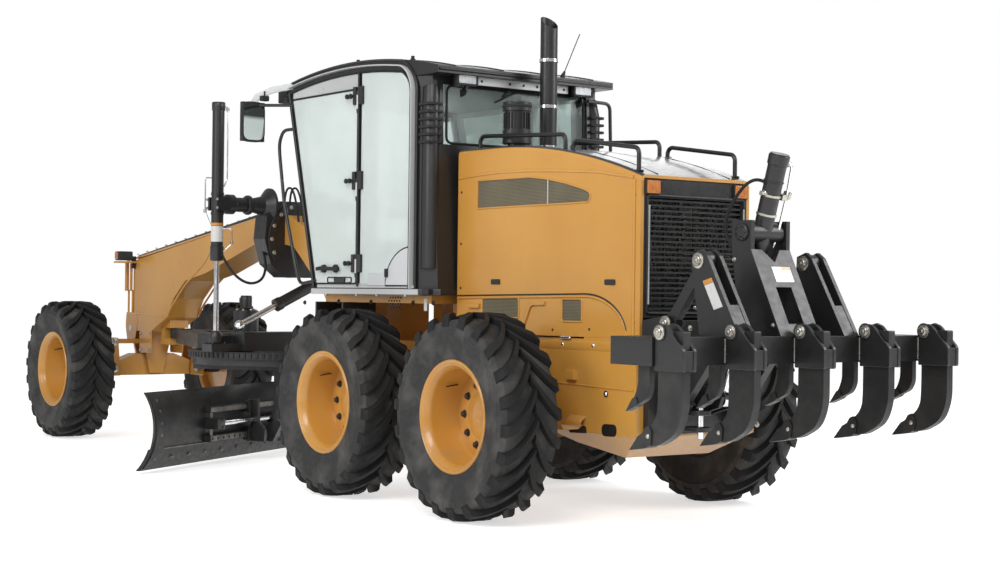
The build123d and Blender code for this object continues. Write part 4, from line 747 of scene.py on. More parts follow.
pair("hood_window_borders", joined(*rims), paint_orange, REAR)
# a post divides the upper window
post_y = AXLE_Y + 0.84
divider = rod(((hood_side(post_y), post_y, 1.985), (hood_side(post_y), post_y, 2.15)), 0.004, (1, 0, 0), 8)
pair("hood_window_post", divider, paint_grey, REAR)

# the shoulder crease under the top edge, and the door's lower seam with its quarter round at the rear
SHOULDER = ((-0.10, 2.197), (0.10, 2.208), (0.35, 2.218), (0.65, 2.213), (0.95, 2.199), (1.30, 2.175),
            (1.62, 2.128))
shoulder = hood_line([(AXLE_Y + y, z) for y, z in SHOULDER])
pair("hood_shoulder", carried(disc_outline(0.010, 10, 0.8), shoulder, (1, 0, 0)), paint_orange, REAR)
BEND_Y, BEND_Z = 1.20, 1.419            # where the seam turns down, Y from the rear axles' middle
REACH_Y, REACH_Z = 0.37, 0.262          # of the quarter round behind it
seam_turn = np.linspace(0.12, 1.5, 12)
seam_y = AXLE_Y + np.concatenate((np.linspace(-0.10, BEND_Y, 16), BEND_Y + REACH_Y * np.sin(seam_turn)))
seam_z = np.concatenate((np.linspace(1.398, BEND_Z, 16), BEND_Z - REACH_Z * (1 - np.cos(seam_turn))))
seam = np.c_[hood_side(seam_y), seam_y, seam_z]
pair("hood_seam", carried(disc_outline(0.005, 8), seam + (0.001, 0, 0), (1, 0, 0)), paint_black, REAR)
pair("hood_seam_bead", carried(disc_outline(0.009, 10), seam + (-0.001, 0, -0.016), (1, 0, 0)),
     paint_orange, REAR)
rear_edge = np.linspace(1.16, 2.11, 12)
edge_line = np.c_[np.full(12, 0.450), np.full(12, HOOD_REAR - 0.055), rear_edge] + (0.0062, 0, 0)
pair("hood_rear_fold", carried(disc_outline(0.012, 12, 0.6), edge_line, (1, 0, 0)), paint_orange, REAR)

# a pressed rib, a small bracket and screws on the lower panel
rib = bent(on_hood(((0.61, 1.19), (0.69, 1.352), (0.83, 1.356)), 0.004), 0.03)
pair("hood_rib", strap(rib, 0.026, 0.016, (1, 0, 0), 0.005), paint_orange, REAR)
bracket_y = AXLE_Y + np.array((0.035, 0.155))
pair("hood_bracket", hood_panel(bracket_y, 1.316, 1.348, 0.018, 0.022), paint_orange, REAR, bevel=0.004)
screw_places = on_hood(((-0.07, 2.10), (-0.07, 1.75), (-0.07, 1.45), (1.63, 1.25), (1.63, 2.02), (0.08, 1.20),
                        (0.90, 1.19), (1.24, 1.20)))
pair("hood_screws", copies(dome(0.009, 0.005), spots(screw_places)), steel_dark, REAR)

# the top cover's two joints, and the doors' latches
top_run = AXLE_Y + np.linspace(-0.09, 1.66, 30)
top_height = np.interp(top_run - AXLE_Y, (-0.11, 0.237, 0.677, 1.091, 1.386, 1.68),
                       (2.392, 2.392, 2.368, 2.311, 2.238, 2.143))
for number, x in enumerate((-0.30, 0.30)):
    line = np.c_[np.full(30, x), top_run, top_height + 0.001]
    piece(f"hood_top_joint_{number}", rod(line, 0.004, (1, 0, 0), 8), paint_black, REAR)
for name, side in SIDES:
    for number, y in enumerate((0.32, 1.42)):
        x = side * hood_side(AXLE_Y + y)
        recess = slab(rectangle((AXLE_Y + y - 0.05, 1.475), (AXLE_Y + y + 0.05, 1.51), 0.012),
                      min(x, x + side * 0.006), max(x, x + side * 0.006))
        piece(f"hood_latch_{name}_{number}", recess, paint_black, REAR, bevel=0.002)

# hinges along the foot of the doors, the tail box's ledge, holes and folded step
hinge = joined(rod(((0, -0.045, 0), (0, -0.003, 0)), 0.010), rod(((0, 0.003, 0), (0, 0.045, 0)), 0.010),
               copies(dome(0.007, 0.005), [at(0, -0.045, 0) @ FORWARD, at(0, 0.045, 0) @ BACKWARD]))
hinge_places = [(hood_side(y) + 0.006, y, 1.145) for y in (AXLE_Y + 0.62, AXLE_Y + 1.03, AXLE_Y + 1.43)]
pair("hood_hinges", copies(hinge, spots(hinge_places)), chrome, REAR)
side_x = tail_high[0]
ledge = slab(((side_x - 0.01, 1.128), (side_x + 0.006, 1.124), (side_x + 0.008, 1.085), (side_x, 1.066),
              (side_x - 0.01, 1.066)), tail_low[1] + 0.002, tail_high[1] - 0.002, "Y")
pair("tail_ledge", ledge, paint_orange, REAR, bevel=0.003)
tail_bolts = [(side_x + 0.006, y, 1.100) for y in (3.011, 3.315, 2.72)] + [(side_x, 3.435, 0.809)]
pair("tail_bolts", bolts(tail_bolts, (1, 0, 0), 0.010, 0.008), chrome, REAR)
# the black ring round the bolt and the black oval are painted shade where the holes open into the box
ring = copies(lathe_closed(((0.0, 0.014), (0.003, 0.014), (0.003, 0.020), (0.0, 0.020)), 24),
              [at(side_x, 3.435, 0.809)])
oval = slab(rounded(((3.398, 0.549), (3.540, 0.553), (3.540, 0.628), (3.398, 0.624)), 0.036, 8),
            side_x - 0.004, side_x + 0.0015)
pair("tail_holes", joined(ring, oval), paint_black, REAR)
shelf = bent([(side_x - 0.004, 3.165, 0.66), (side_x + 0.045, 3.165, 0.625),
              (side_x + 0.045, 3.165, 0.575)], 0.02)
pair("tail_step", strap(shelf, 0.15, 0.008, (0, 0.02, 1), 0.003), paint_orange, REAR)
# the black patch under the step is painted shade in the slot beneath it
under_step = slab(rounded(((3.08, 0.548), (3.255, 0.555), (3.245, 0.600), (3.08, 0.590)), 0.012),
                  side_x - 0.004, side_x + 0.0014)
pair("tail_step_slot", under_step, paint_black, REAR)
tab = block((side_x - 0.004, 3.07, 0.882), (side_x + 0.030, 3.15, 0.945), 0.006, "Y")
pair("tail_tab", tab, paint_orange, REAR, bevel=0.003)
fold = np.c_[np.full(10, side_x + 0.0005), np.linspace(tail_low[1] + 0.03, tail_high[1] - 0.02, 10),
             np.linspace(0.862, 0.842, 10)]
pair("tail_fold", rod(fold, 0.006, (1, 0, 0), 8), paint_orange, REAR)

# ------------------------------------------------------------------ grille
GRILLE_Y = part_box("grille")[1][1] - 0.012
core_x, core_z = 0.384, (1.322, 2.004)
core = block((-core_x, GRILLE_Y - 0.062, core_z[0]), (core_x, GRILLE_Y - 0.056, core_z[1]))
piece("cooler_core", core, cooler_fins, REAR)
guard = [hoop(radius, 0.0025, steps=48, sides=6) for radius in np.arange(0.05, 0.34, 0.028)]
guard += [copies(block((-0.002, -0.0015, 0.045), (0.002, 0.0015, 0.325)), [turned(15 * step)])
          for step in range(24)]
piece("fan_guard", copies(joined(*guard), [at(0, GRILLE_Y - 0.046, 1.665) @ BACKWARD]), zinc, REAR)
frame_line = rectangle((-0.40, 1.306), (0.40, 2.020), 0.02)
route = np.c_[frame_line[:, 0], np.full(len(frame_line), GRILLE_Y + 0.003), frame_line[:, 1]]
piece("grille_border", rod(route, 0.008, (0, 1, 0), 10, closed=True), paint_black, REAR)
side_bar = rod(((0.392, GRILLE_Y + 0.010, 1.36), (0.392, GRILLE_Y + 0.010, 1.96)), 0.007, (0, 1, 0))
pair("grille_door_rods", side_bar, chrome, REAR)
for name, side in SIDES:
    low_x, high_x = sorted((side * 0.312, side * 0.416))
    lens = block((low_x, GRILLE_Y + 0.006, 2.030), (high_x, GRILLE_Y + 0.022, 2.108), 0.010, "Y")
    piece(f"tail_lamp_lens_{name}", lens, lamp_amber, REAR, bevel=0.004)
    rim = frame_ring(rectangle((low_x - 0.006, 2.024), (high_x + 0.006, 2.114), 0.012), 0.009,
                     GRILLE_Y + 0.002, GRILLE_Y + 0.016, "Y")
    piece(f"tail_lamp_rim_{name}", rim, plastic, REAR)
latch = block((-0.03, GRILLE_Y + 0.002, 1.335), (0.03, GRILLE_Y + 0.016, 1.350), 0.004, "Y")
piece("grille_latch", latch, chrome, REAR, bevel=0.002)

# ------------------------------------------------------------------ stack, pre-cleaner and rails
stack_x, stack_y = -0.060, AXLE_Y + 0.100
clamp = collar(0, 0.022, 0.0605, 0.066, 40)
rings = [at(stack_x, stack_y, z) @ UPWARD for z in (2.42, 2.70, 3.02)]
piece("stack_clamps", copies(clamp, rings), chrome, REAR)
flare = lathe_closed(((0, 0.0602), (0, 0.085), (0.006, 0.088), (0.014, 0.070), (0.030, 0.0602)), 40)
piece("stack_flange", copies(flare, [at(stack_x, stack_y, 2.392) @ UPWARD]), paint_black, REAR)
cleaner_x, cleaner_y = 0.270, AXLE_Y + 0.180
fins = [at(cleaner_x, cleaner_y, 2.585) @ turned(15 * step, "Z") for step in range(24)]
louvre = block((0.082, -0.002, -0.055), (0.092, 0.002, 0.055))
piece("cleaner_louvres", copies(louvre, fins), plastic, REAR)
cap = lathe(((0, 0), (0, 0.100), (0.012, 0.104), (0.022, 0.098), (0.034, 0.050), (0.036, 0)), 40)
piece("cleaner_cap", copies(cap, [at(cleaner_x, cleaner_y, 2.672) @ UPWARD]), plastic, REAR)
rail_feet = [(x, AXLE_Y + y, z) for x in (-0.4, 0.4)
             for y, z in ((-0.06, 2.390), (0.88, 2.338), (0.96, 2.328), (1.60, 2.168))]
foot = lathe(((0, 0), (0, 0.030), (0.006, 0.030), (0.010, 0.018), (0.010, 0)), 20)
piece("rail_feet", copies(foot, [at(*place) @ UPWARD for place in rail_feet]), paint_black, REAR)

# ------------------------------------------------------------------ cab
CAB_X = 0.765
SILL_Z, EAVE_Z = 1.440, 2.900
FOOT_Y, BROW_Y = AXLE_Y - 1.665, AXLE_Y - 2.065
ROOF_PEAK_Z, ROOF_ARC_R = 3.079, 5.270
B_POST_Y, REAR_POST_Y, BACK_Y = AXLE_Y - 1.030, AXLE_Y - 0.330, AXLE_Y - 0.130
PANE_FOOT, PANE_TOP = 1.475, 2.872
HINGE_Z = (2.825, 2.215, 1.620)


def front_post(z):
    """Y of the leaning front post at a height."""
    return FOOT_Y + (z - SILL_Z) / (EAVE_Z - SILL_Z) * (BROW_Y - FOOT_Y)


def roof_line(y):
    """Height of the roof's edge: a circle whose top lies over the middle of the roof."""
    return ROOF_PEAK_Z - ROOF_ARC_R + np.sqrt(ROOF_ARC_R ** 2 - (np.asarray(y) - (AXLE_Y - 1.210)) ** 2)


def cab_wall(outline, out, thick):
    """A flat panel on the cab's left side: an outline of (Y, Z) points standing out by a distance."""
    return slab(outline, CAB_X + out - thick, CAB_X + out)


def side_route(points, out=0.0):
    """A route on the cab's left side through (Y, Z) points."""
    points = np.asarray(points, float)
    return np.c_[np.full(len(points), CAB_X + out), points]


arch_y = np.linspace(BROW_Y - 0.06, REAR_POST_Y - 0.20, 24)
corner_turn = np.linspace(0, np.pi / 2, 10)
corner_y = REAR_POST_Y - 0.20 + 0.20 * np.sin(corner_turn)
corner_z = roof_line(REAR_POST_Y - 0.20) - 0.045 - 0.20 * (1 - np.cos(corner_turn))
edge_y = np.concatenate((arch_y, corner_y[1:], np.full(10, REAR_POST_Y)))
edge_z = np.concatenate((roof_line(arch_y) - 0.045, corner_z[1:],
                         np.linspace(corner_z[-1] - 0.05, SILL_Z, 10)))
arch_route = side_route(np.c_[edge_y, edge_z], 0.004)
shell = strap(arch_route, 0.010, 0.062, (1, 0, 0), 0.004)
pair("cab_side_arch", shell, trim_silver, REAR, bevel=0.002)
below = edge_z < EAVE_Z               # the part of the arch that goes down the rear post
inner_route = side_route(np.c_[edge_y - 0.042 * below, edge_z - 0.042 * ~below], 0.006)
pair("cab_arch_seal", rod(inner_route, 0.008, (1, 0, 0), 8), seal_rubber, REAR)
outer_route = side_route(np.c_[edge_y + 0.036 * below, edge_z + 0.036 * ~below], 0.002)
pair("cab_gutter", rod(outer_route, 0.009, (1, 0, 0), 8), paint_black, REAR)

# panes: one over the whole door, one from the middle post to the rounded rear corner
door_edge = rounded(((front_post(PANE_FOOT) + 0.045, PANE_FOOT), (B_POST_Y - 0.030, PANE_FOOT),
                     (B_POST_Y - 0.030, PANE_TOP), (front_post(PANE_TOP) + 0.045, PANE_TOP)), 0.02)
rear_edge_z = np.concatenate(((PANE_FOOT, PANE_FOOT), corner_z[::-1] - 0.035,
                              roof_line(np.linspace(REAR_POST_Y - 0.24, B_POST_Y, 8)) - 0.085))
rear_edge_y = np.concatenate(((B_POST_Y + 0.022, REAR_POST_Y - 0.045), corner_y[::-1] - 0.045,
                              np.linspace(REAR_POST_Y - 0.26, B_POST_Y + 0.022, 8)))
over_door_y = np.linspace(front_post(2.88) + 0.045, B_POST_Y - 0.022, 12)
over_door = np.vstack((np.c_[over_door_y, roof_line(over_door_y) - 0.085],
                       ((B_POST_Y - 0.022, 2.882), (front_post(2.88) + 0.045, 2.882))))
for name, side in SIDES:
    flip = mirrored if side < 0 else joined          # joined leaves a single shape as it is
    door_body = f"door_{name}"
    piece(f"door_pane_{name}", flip(cab_wall(door_edge, 0.008, 0.005)), pane_painted_reflection, door_body)
    piece(f"side_pane_{name}", flip(cab_wall(np.c_[rear_edge_y, rear_edge_z], 0.006, 0.005)), pane_painted_reflection, REAR)
    piece(f"over_door_panel_{name}", flip(cab_wall(over_door, 0.004, 0.006)), trim_silver, REAR)
    seal = side_route(door_edge, 0.007)
    piece(f"door_seal_{name}", flip(rod(seal, 0.0065, (1, 0, 0), 8, closed=True)), seal_rubber, door_body)
    handle = side_route(((0.43, 1.583), (0.50, 1.588), (0.60, 1.584), (0.70, 1.581), (0.745, 1.580)), 0.030)
    boss = copies(lathe(((0, 0), (0, 0.030), (0.018, 0.030), (0.026, 0.022), (0.026, 0)), 24),
                  [at(CAB_X + 0.008, y, 1.584) for y in (0.515, 0.685)])
    handle = joined(strap(handle, 0.028, 0.016, (1, 0, 0), 0.006), boss)
    piece(f"door_handle_{name}", flip(handle), plastic, door_body)
    slot_ring = frame_ring(rectangle((0.555, 1.478), (0.900, 1.524), 0.022, 6), 0.007,
                           CAB_X + 0.006, CAB_X + 0.014)
    piece(f"door_latch_ring_{name}", flip(slot_ring), plastic, door_body)
    slot_core = block((CAB_X + 0.006, 0.66, 1.485), (CAB_X + 0.018, 0.81, 1.517), 0.006, "X")
    piece(f"door_latch_{name}", flip(slot_core), paint_black, door_body, bevel=0.003)
    knobs = [at(CAB_X + 0.010, y, z) for z in HINGE_Z for y in (0.845, 0.895)]
    knob = lathe(((0, 0), (0, 0.008), (0.012, 0.008), (0.016, 0.017), (0.030, 0.019), (0.036, 0.012),
                  (0.037, 0)), 20)
    piece(f"door_knobs_{name}", flip(copies(knob, knobs)), plastic, door_body)
    for part, body, low_x, low_y, high_y in (("door", door_body, 0.006, -0.075, -0.034),
                                             ("post", REAR, 0.004, 0.014, 0.052)):
        leaves = [block((CAB_X + low_x, B_POST_Y + low_y, z - 0.065),
                        (CAB_X + 0.026, B_POST_Y + high_y, z + 0.065), 0.006, "X") for z in HINGE_Z]
        piece(f"{part}_hinge_leaves_{name}", flip(joined(*leaves)), paint_black, body, bevel=0.003)

post_route = side_route(((B_POST_Y - 0.004, 1.455), (B_POST_Y - 0.006, 2.2), (B_POST_Y - 0.010, 2.985)),
                        0.004)
pair("middle_posts", strap(post_route, 0.034, 0.016, (0, 1, 0), 0.006), paint_black, REAR)
front_z = np.linspace(1.45, 2.93, 14)
front_route = side_route(np.c_[front_post(front_z) + 0.012, front_z], 0.004)
pair("front_posts", strap(front_route, 0.024, 0.034, (1, 0, 0), 0.008), paint_black, REAR)

# quarter-round locker door, the small panel before it, and the sill strip
quarter = np.linspace(0, np.pi / 2, 12)
locker_arc = np.c_[1.690 - 0.324 * np.sin(quarter), 1.728 - 0.266 * (1 - np.cos(quarter))]
locker = np.vstack(((1.690, 1.462), locker_arc))
locker[:, 0] -= 0.012
pair("locker_doors", cab_wall(locker, 0.012, 0.006), paint_grey, REAR, bevel=0.002)
locker_seal = carried(disc_outline(0.006, 8), side_route(locker, 0.009), (1, 0, 0), closed=True)
pair("locker_seals", locker_seal, seal_rubber, REAR)
panel_edge = rectangle((1.115, 1.462), (1.350, 1.548), 0.008)
pair("side_panels", cab_wall(panel_edge, 0.010, 0.005), paint_grey, REAR, bevel=0.001)
catch = joined(block((CAB_X + 0.008, 1.362, 1.520), (CAB_X + 0.026, 1.392, 1.580), 0.006, "X"),
               block((CAB_X + 0.008, 1.655, 1.480), (CAB_X + 0.022, 1.685, 1.515), 0.006, "X"),
               block((CAB_X + 0.008, 1.655, 1.655), (CAB_X + 0.022, 1.685, 1.690), 0.006, "X"))
pair("locker_catches", catch, plastic, REAR, bevel=0.002)
skirt = joined(block((CAB_X - 0.005, 0.400, 1.462), (CAB_X + 0.004, REAR_POST_Y - 0.02, 1.476), 0.0),
               slab(((0.40, 1.444), (REAR_POST_Y + 0.02, 1.444), (REAR_POST_Y + 0.02, 1.462), (0.40, 1.462)),
                    CAB_X - 0.004, CAB_X + 0.006))
pair("door_foot_strips", skirt, trim_silver, REAR, bevel=0.002)
sill = strap(((CAB_X + 0.012, 0.34, 1.418), (CAB_X + 0.012, REAR_POST_Y + 0.10, 1.418)), 0.020, 0.040,
             (0, 0, 1), 0.005)
pair("sill_strips", sill, trim_silver, REAR)
sill_end = strap(((CAB_X + 0.012, REAR_POST_Y + 0.10, 1.418), (0.700, BACK_Y + 0.06, 1.418)), 0.024, 0.046,
                 (0, 0, 1), 0.005)
pair("sill_ends", sill_end, paint_black, REAR)

# air duct up each rear corner, with its slats
duct_line = ((0.705, 1.800, 1.58), (0.705, 1.800, 1.64), (0.705, 1.797, 2.70), (0.690, 1.775, 2.82))
pair("cab_ducts", carried(disc_outline(0.055, 20, 1.25), duct_line, (0, 1, 0)), paint_black, REAR)
slat = block((-0.060, -0.062, -0.009), (0.066, 0.070, 0.009), 0.02, "Z")
slats = copies(slat, [at(0.708, 1.800, 2.440 + 0.052 * step) for step in range(6)])
pair("duct_slats", slats, plastic, REAR, bevel=0.003)
rear_post = strap(((0.722, REAR_POST_Y + 0.055, 1.46), (0.722, REAR_POST_Y + 0.055, 2.86)), 0.05, 0.010,
                  (0.95, 0.3, 0), 0.003)
pair("rear_corner_strips", rear_post, trim_silver, REAR)

# ------------------------------------------------------------------ ripper
beam_low, beam_high = limits("ripper_beam")
BEAM_REAR, BEAM_TOP, BEAM_FOOT = beam_high[1], 1.190, beam_low[2]
RIPPER_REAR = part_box("ripper_shanks")[1][1]
SHANKS_X = (-1.065, -0.544, 0.0, 0.544, 1.065)
SHANK_PIN = (BEAM_REAR + 0.044, 1.217)
SHANK_SIDE = (           # Y and Z of the shank's outline, then how far each corner is eased
    (BEAM_REAR + 0.008, 1.225, 0.01), (RIPPER_REAR - 0.027, 1.225, 0.01),
    (RIPPER_REAR - 0.026, 0.800, 0.07), (RIPPER_REAR - 0.080, 0.678, 0.06),
    (RIPPER_REAR - 0.222, 0.604, 0.05), (RIPPER_REAR - 0.330, 0.602, 0.012),
    (RIPPER_REAR - 0.345, 0.655, 0.012), (RIPPER_REAR - 0.228, 0.757, 0.06), (BEAM_REAR + 0.008, 0.890, 0.08))
BOOT_SIDE = [(RIPPER_REAR - ahead, z, ease) for ahead, z, ease in (        # the tooth over the shank's nose
    (0.445, 0.568, 0.004), (0.375, 0.650, 0.008), (0.338, 0.668, 0.008), (0.318, 0.700, 0.006),
    (0.290, 0.712, 0.006), (0.262, 0.680, 0.010), (0.268, 0.612, 0.010), (0.300, 0.592, 0.008),
    (0.345, 0.584, 0.006))]
CHEEK_SIDE = (
    (BEAM_REAR + 0.001, BEAM_FOOT - 0.024, 0.008), (RIPPER_REAR - 0.002, BEAM_FOOT - 0.024, 0.012),
    (RIPPER_REAR - 0.002, BEAM_FOOT + 0.092, 0.014), (SHANK_PIN[0] + 0.046, SHANK_PIN[1] + 0.044, 0.030),
    (SHANK_PIN[0] - 0.030, SHANK_PIN[1] + 0.044, 0.028), (BEAM_REAR + 0.001, BEAM_TOP + 0.002, 0.008))
TINE_SIDE = [(BEAM_REAR - ahead, z, ease) for ahead, z, ease in (
    (0.165, BEAM_FOOT, 0.004), (0.070, BEAM_FOOT, 0.004), (0.070, 0.900, 0.03), (0.100, 0.850, 0.02),
    (0.260, 0.777, 0.003), (0.190, 0.868, 0.012), (0.165, 0.925, 0.03))]
TIP_SIDE = [(BEAM_REAR - ahead, z, ease) for ahead, z, ease in (
    (0.260, 0.777, 0.003), (0.205, 0.852, 0.008), (0.176, 0.862, 0.006), (0.160, 0.826, 0.008),
    (0.180, 0.808, 0.006))]


def eased(corners):
    """An outline from rows of two coordinates and the distance from the corner at which its easing starts."""
    corners = np.asarray(corners, float)
    return rounded(corners[:, :2], corners[:, 2:], 6)


def plate(corners, x, thick):
    """A flat plate with eased corners that stands square to X, its middle at x."""
    return slab(eased(corners), x - thick / 2, x + thick / 2)


def at_shanks(corners, thick):
    """The same plate on each of the five shanks' lines."""
    return joined(*[plate(corners, x, thick) for x in SHANKS_X])


piece("shank_blades", at_shanks(SHANK_SIDE, 0.052), steel_dark, RIPPER, bevel=0.005,
      replaces=("ripper_shanks",))
piece("shank_teeth", at_shanks(BOOT_SIDE, 0.070), steel_dark, RIPPER, bevel=0.006)
cheeks = joined(*[plate(CHEEK_SIDE, x + side * 0.0385, 0.023) for x in SHANKS_X for side in (-1, 1)])
piece("shank_cheeks", cheeks, paint_black, RIPPER, bevel=0.003)
ties = joined(*[block((x - 0.028, RIPPER_REAR - 0.020, BEAM_FOOT - 0.020),
                      (x + 0.028, RIPPER_REAR - 0.006, BEAM_FOOT + 0.088)) for x in SHANKS_X])
piece("shank_cheek_ties", ties, steel_dark, RIPPER, bevel=0.003)
piece("scarifier_tines", at_shanks(TINE_SIDE, 0.036), steel_dark, RIPPER, bevel=0.003)
piece("scarifier_tips", at_shanks(TIP_SIDE, 0.050), steel_dark, RIPPER, bevel=0.004)
tooth_pins = copies(bolt(0.010, 0.008), [at(x + side * 0.034, RIPPER_REAR - 0.292, 0.655) @ outward(side)
                                         for x in SHANKS_X for side in (-1, 1)])
piece("tooth_pins", tooth_pins, zinc, RIPPER)
pin_head = lathe(((0, 0), (0, 0.040), (0.007, 0.040), (0.009, 0.030), (0.010, 0.027), (0.020, 0.027),
                  (0.024, 0.023), (0.024, 0.012), (0.021, 0.010), (0.021, 0)), 24)
pin_cap = joined(pin_head, copies(bolt(0.009, 0.007), [at(0.021, 0, 0)]))
pin_places = [at(x + side * 0.050, *SHANK_PIN) @ outward(side) for x in SHANKS_X for side in (-1, 1)]
piece("shank_pin_heads", copies(pin_cap, pin_places), zinc, RIPPER)
washer = collar(0, 0.005, 0.024, 0.049, 24)
piece("shank_pin_washers", copies(washer, pin_places), paint_black, RIPPER)

# pins and washers of the links, on the beam's ears and on the rear plate
LINK_X, LOWER_LINK_X = 0.426, 0.250
LINK_REAR, LINK_FRONT = np.array((4.246, 1.617)), np.array((3.965, 1.250))
LINK_STEP = np.array((0.090, 0.490))
big_cap = joined(copies(pin_head, [Matrix.Diagonal((1, 1.15, 1.15, 1))]),
                 copies(bolt(0.010, 0.008), [at(0.021, 0, 0)]))
outer = [at(side * (LINK_X + 0.061), *LINK_REAR) @ outward(side) for side in (-1, 1)]
inner = [at(side * (LINK_X - 0.061), *LINK_REAR) @ outward(-side) for side in (-1, 1)]
lower = [at(side * (LOWER_LINK_X + 0.061), *(LINK_REAR - LINK_STEP)) @ outward(side) for side in (-1, 1)]
piece("link_pin_heads", copies(big_cap, outer + inner + lower), zinc, RIPPER)
mount_pins = [at(side * (x + 0.058), *place) @ outward(side) for side in (-1, 1)
              for x, place in ((LINK_X, LINK_FRONT), (LOWER_LINK_X, LINK_FRONT - LINK_STEP))]
piece("mount_pin_heads", copies(big_cap, mount_pins), zinc, REAR)

# gussets between the ears, weld beads, blank plates on the left ear and on the tower
gusset = [slab(((4.555, BEAM_TOP), (4.582, BEAM_TOP), (4.478, 1.367), (4.450, 1.367)),
               side * LINK_X - 0.034, side * LINK_X + 0.034) for side in (-1, 1)]
piece("ear_gussets", joined(*gusset), paint_black, RIPPER, bevel=0.002)
bead_x = [x + 0.052 for x in SHANKS_X[:-1]] + [1.010]
beads = joined(*[rod(((x, BEAM_REAR + 0.001, BEAM_FOOT + 0.01), (x, BEAM_REAR + 0.001, BEAM_TOP - 0.01)),
                     0.0045, (0, 1, 0), 8) for x in bead_x])
piece("beam_weld_beads", beads, zinc, RIPPER)
beam_ends = joined(*[block((side * 1.128, 4.256, 1.050), (side * 1.1305, 4.570, 1.176), 0.01)
                     for side in (-1, 1)])
piece("beam_end_plates", beam_ends, paint_black, RIPPER, bevel=0.001)
LABEL_X = LINK_X + 0.062
label_along, label_over = np.array((0.095, -0.165)), np.array((0.072, 0.020))
label_foot = np.array((4.285, 1.500))


def label_part(low, high):
    """A strip of the slanting plate between two shares of its length, top first."""
    corners = [label_foot + label_along * share + label_over * across
               for share, across in ((low, 0), (low, 1), (high, 1), (high, 0))]
    return slab(np.array(corners), LABEL_X - 0.001, LABEL_X + 0.0025)


piece("ear_plate_white", label_part(0.16, 1.0), label_blank, RIPPER, bevel=0.001)
piece("ear_plate_band", label_part(0.0, 0.155), label_band, RIPPER, bevel=0.001)
tower_foot, tower_brow = np.array((BEAM_REAR, BEAM_TOP)), np.array((4.335, 1.690))
tower_run = unit(tower_brow - tower_foot)
tower_out = np.array((tower_run[1], -tower_run[0]))


def tower_plate(x_low, x_high, z_low, z_high, out=0.002):
    """A thin plate lying on the tower's sloping rear face."""
    ends = [tower_foot + tower_run * (z - BEAM_TOP) / tower_run[1] for z in (z_low, z_high)]
    side = np.array((ends[0], ends[1], ends[1] + tower_out * out, ends[0] + tower_out * out))
    return slab(side, x_low, x_high)


piece("tower_plate_white", tower_plate(-0.105, 0.045, 1.500, 1.590), label_blank, RIPPER, bevel=0.001)
piece("tower_plate_band", tower_plate(-0.105, -0.035, 1.572, 1.590, 0.003), label_band, RIPPER, bevel=0.001)
TOWER_PIN = (4.265, 1.790)
caps = [at(side * 0.160, *TOWER_PIN) @ outward(side) for side in (-1, 1)]
cap = lathe(((0, 0), (0, 0.052), (0.010, 0.052), (0.014, 0.046), (0.014, 0.030), (0.018, 0.028),
             (0.018, 0)), 28)
screw_turns = np.arange(6) * math.pi / 3
screws = copies(bolt(0.006, 0.005), [at(0.014, 0.038 * math.cos(a), 0.038 * math.sin(a))
                                     for a in screw_turns])
piece("tower_pin_caps", copies(joined(cap, screws), caps), paint_black, RIPPER)
piece("tower_side_bolts", bolts([(0.160, y, z) for y, z in ((4.20, 1.25), (4.52, 1.25), (4.20, 1.63))],
                                (1, 0, 0), 0.011), zinc, RIPPER)

# ripper cylinder: gland, end cap, port blocks and the steel tube down its side
RIPPER_EYE = np.array((0, 3.965, 0.800))
ripper_top = np.array((0, *TOWER_PIN))
ripper_run = unit(ripper_top - RIPPER_EYE)


def on_ripper(along, out_x=0.0, behind=0.0):
    """A point beside the ripper cylinder's axis: along it above the trunnion, to the left and behind."""
    square = np.array((0, ripper_run[2], -ripper_run[1]))
    return ripper_top + ripper_run * along + np.array((out_x, 0, 0)) + square * behind


ripper_way = Matrix.Translation(on_ripper(0)) @ facing(ripper_run)
caps = joined(
    lathe(((0.462, 0), (0.462, 0.060), (0.470, 0.063), (0.520, 0.063), (0.524, 0.060), (0.524, 0)), 40),
    collar(0.360, 0.368, 0.050, 0.061, 40),
    lathe_closed(((-0.520, 0.034), (-0.520, 0.058), (-0.500, 0.062), (-0.430, 0.062), (-0.428, 0.050),
                  (-0.440, 0.034)), 40))
piece("ripper_cylinder_caps", copies(caps, [ripper_way @ at(-0.050, 0, 0)]), paint_black, "ripper_barrel")
band = collar(0, 0.014, 0.0555, 0.0605, 40)
piece("ripper_cylinder_bands", copies(band, [ripper_way @ at(0.223, 0, 0), ripper_way @ at(0.108, 0, 0)]),
      zinc, "ripper_barrel")
tube = bent([on_ripper(0.425, -0.052, 0.020), on_ripper(0.425, -0.085, 0.034),
             on_ripper(0.245, -0.092, 0.040), on_ripper(0.020, -0.088, 0.040),
             on_ripper(-0.080, -0.086, 0.030)], 0.025)
piece("ripper_cylinder_tube", rod(tube, 0.009, (1, 0, 0)), chrome, "ripper_barrel")
clip = joined(block((-0.100, -0.016, -0.018), (-0.052, 0.050, 0.018), 0.006),
              block((-0.112, 0.006, -0.006), (-0.092, 0.056, 0.036), 0.006))
clip_way = Matrix.Translation(on_ripper(0.230)) @ turned(-20, "X")
piece("ripper_tube_clip", copies(clip, [clip_way]), zinc, "ripper_barrel", bevel=0.003)
port = lathe(((0, 0), (0, 0.020), (0.020, 0.020), (0.024, 0.015), (0.042, 0.015), (0.042, 0)), 12)
port_places = [at(*on_ripper(0.425, -0.045, 0.018)) @ turned(180, "Z"), at(*on_ripper(0.240, 0.045, 0.005))]
piece("ripper_cylinder_ports", copies(port, port_places), zinc, "ripper_barrel")

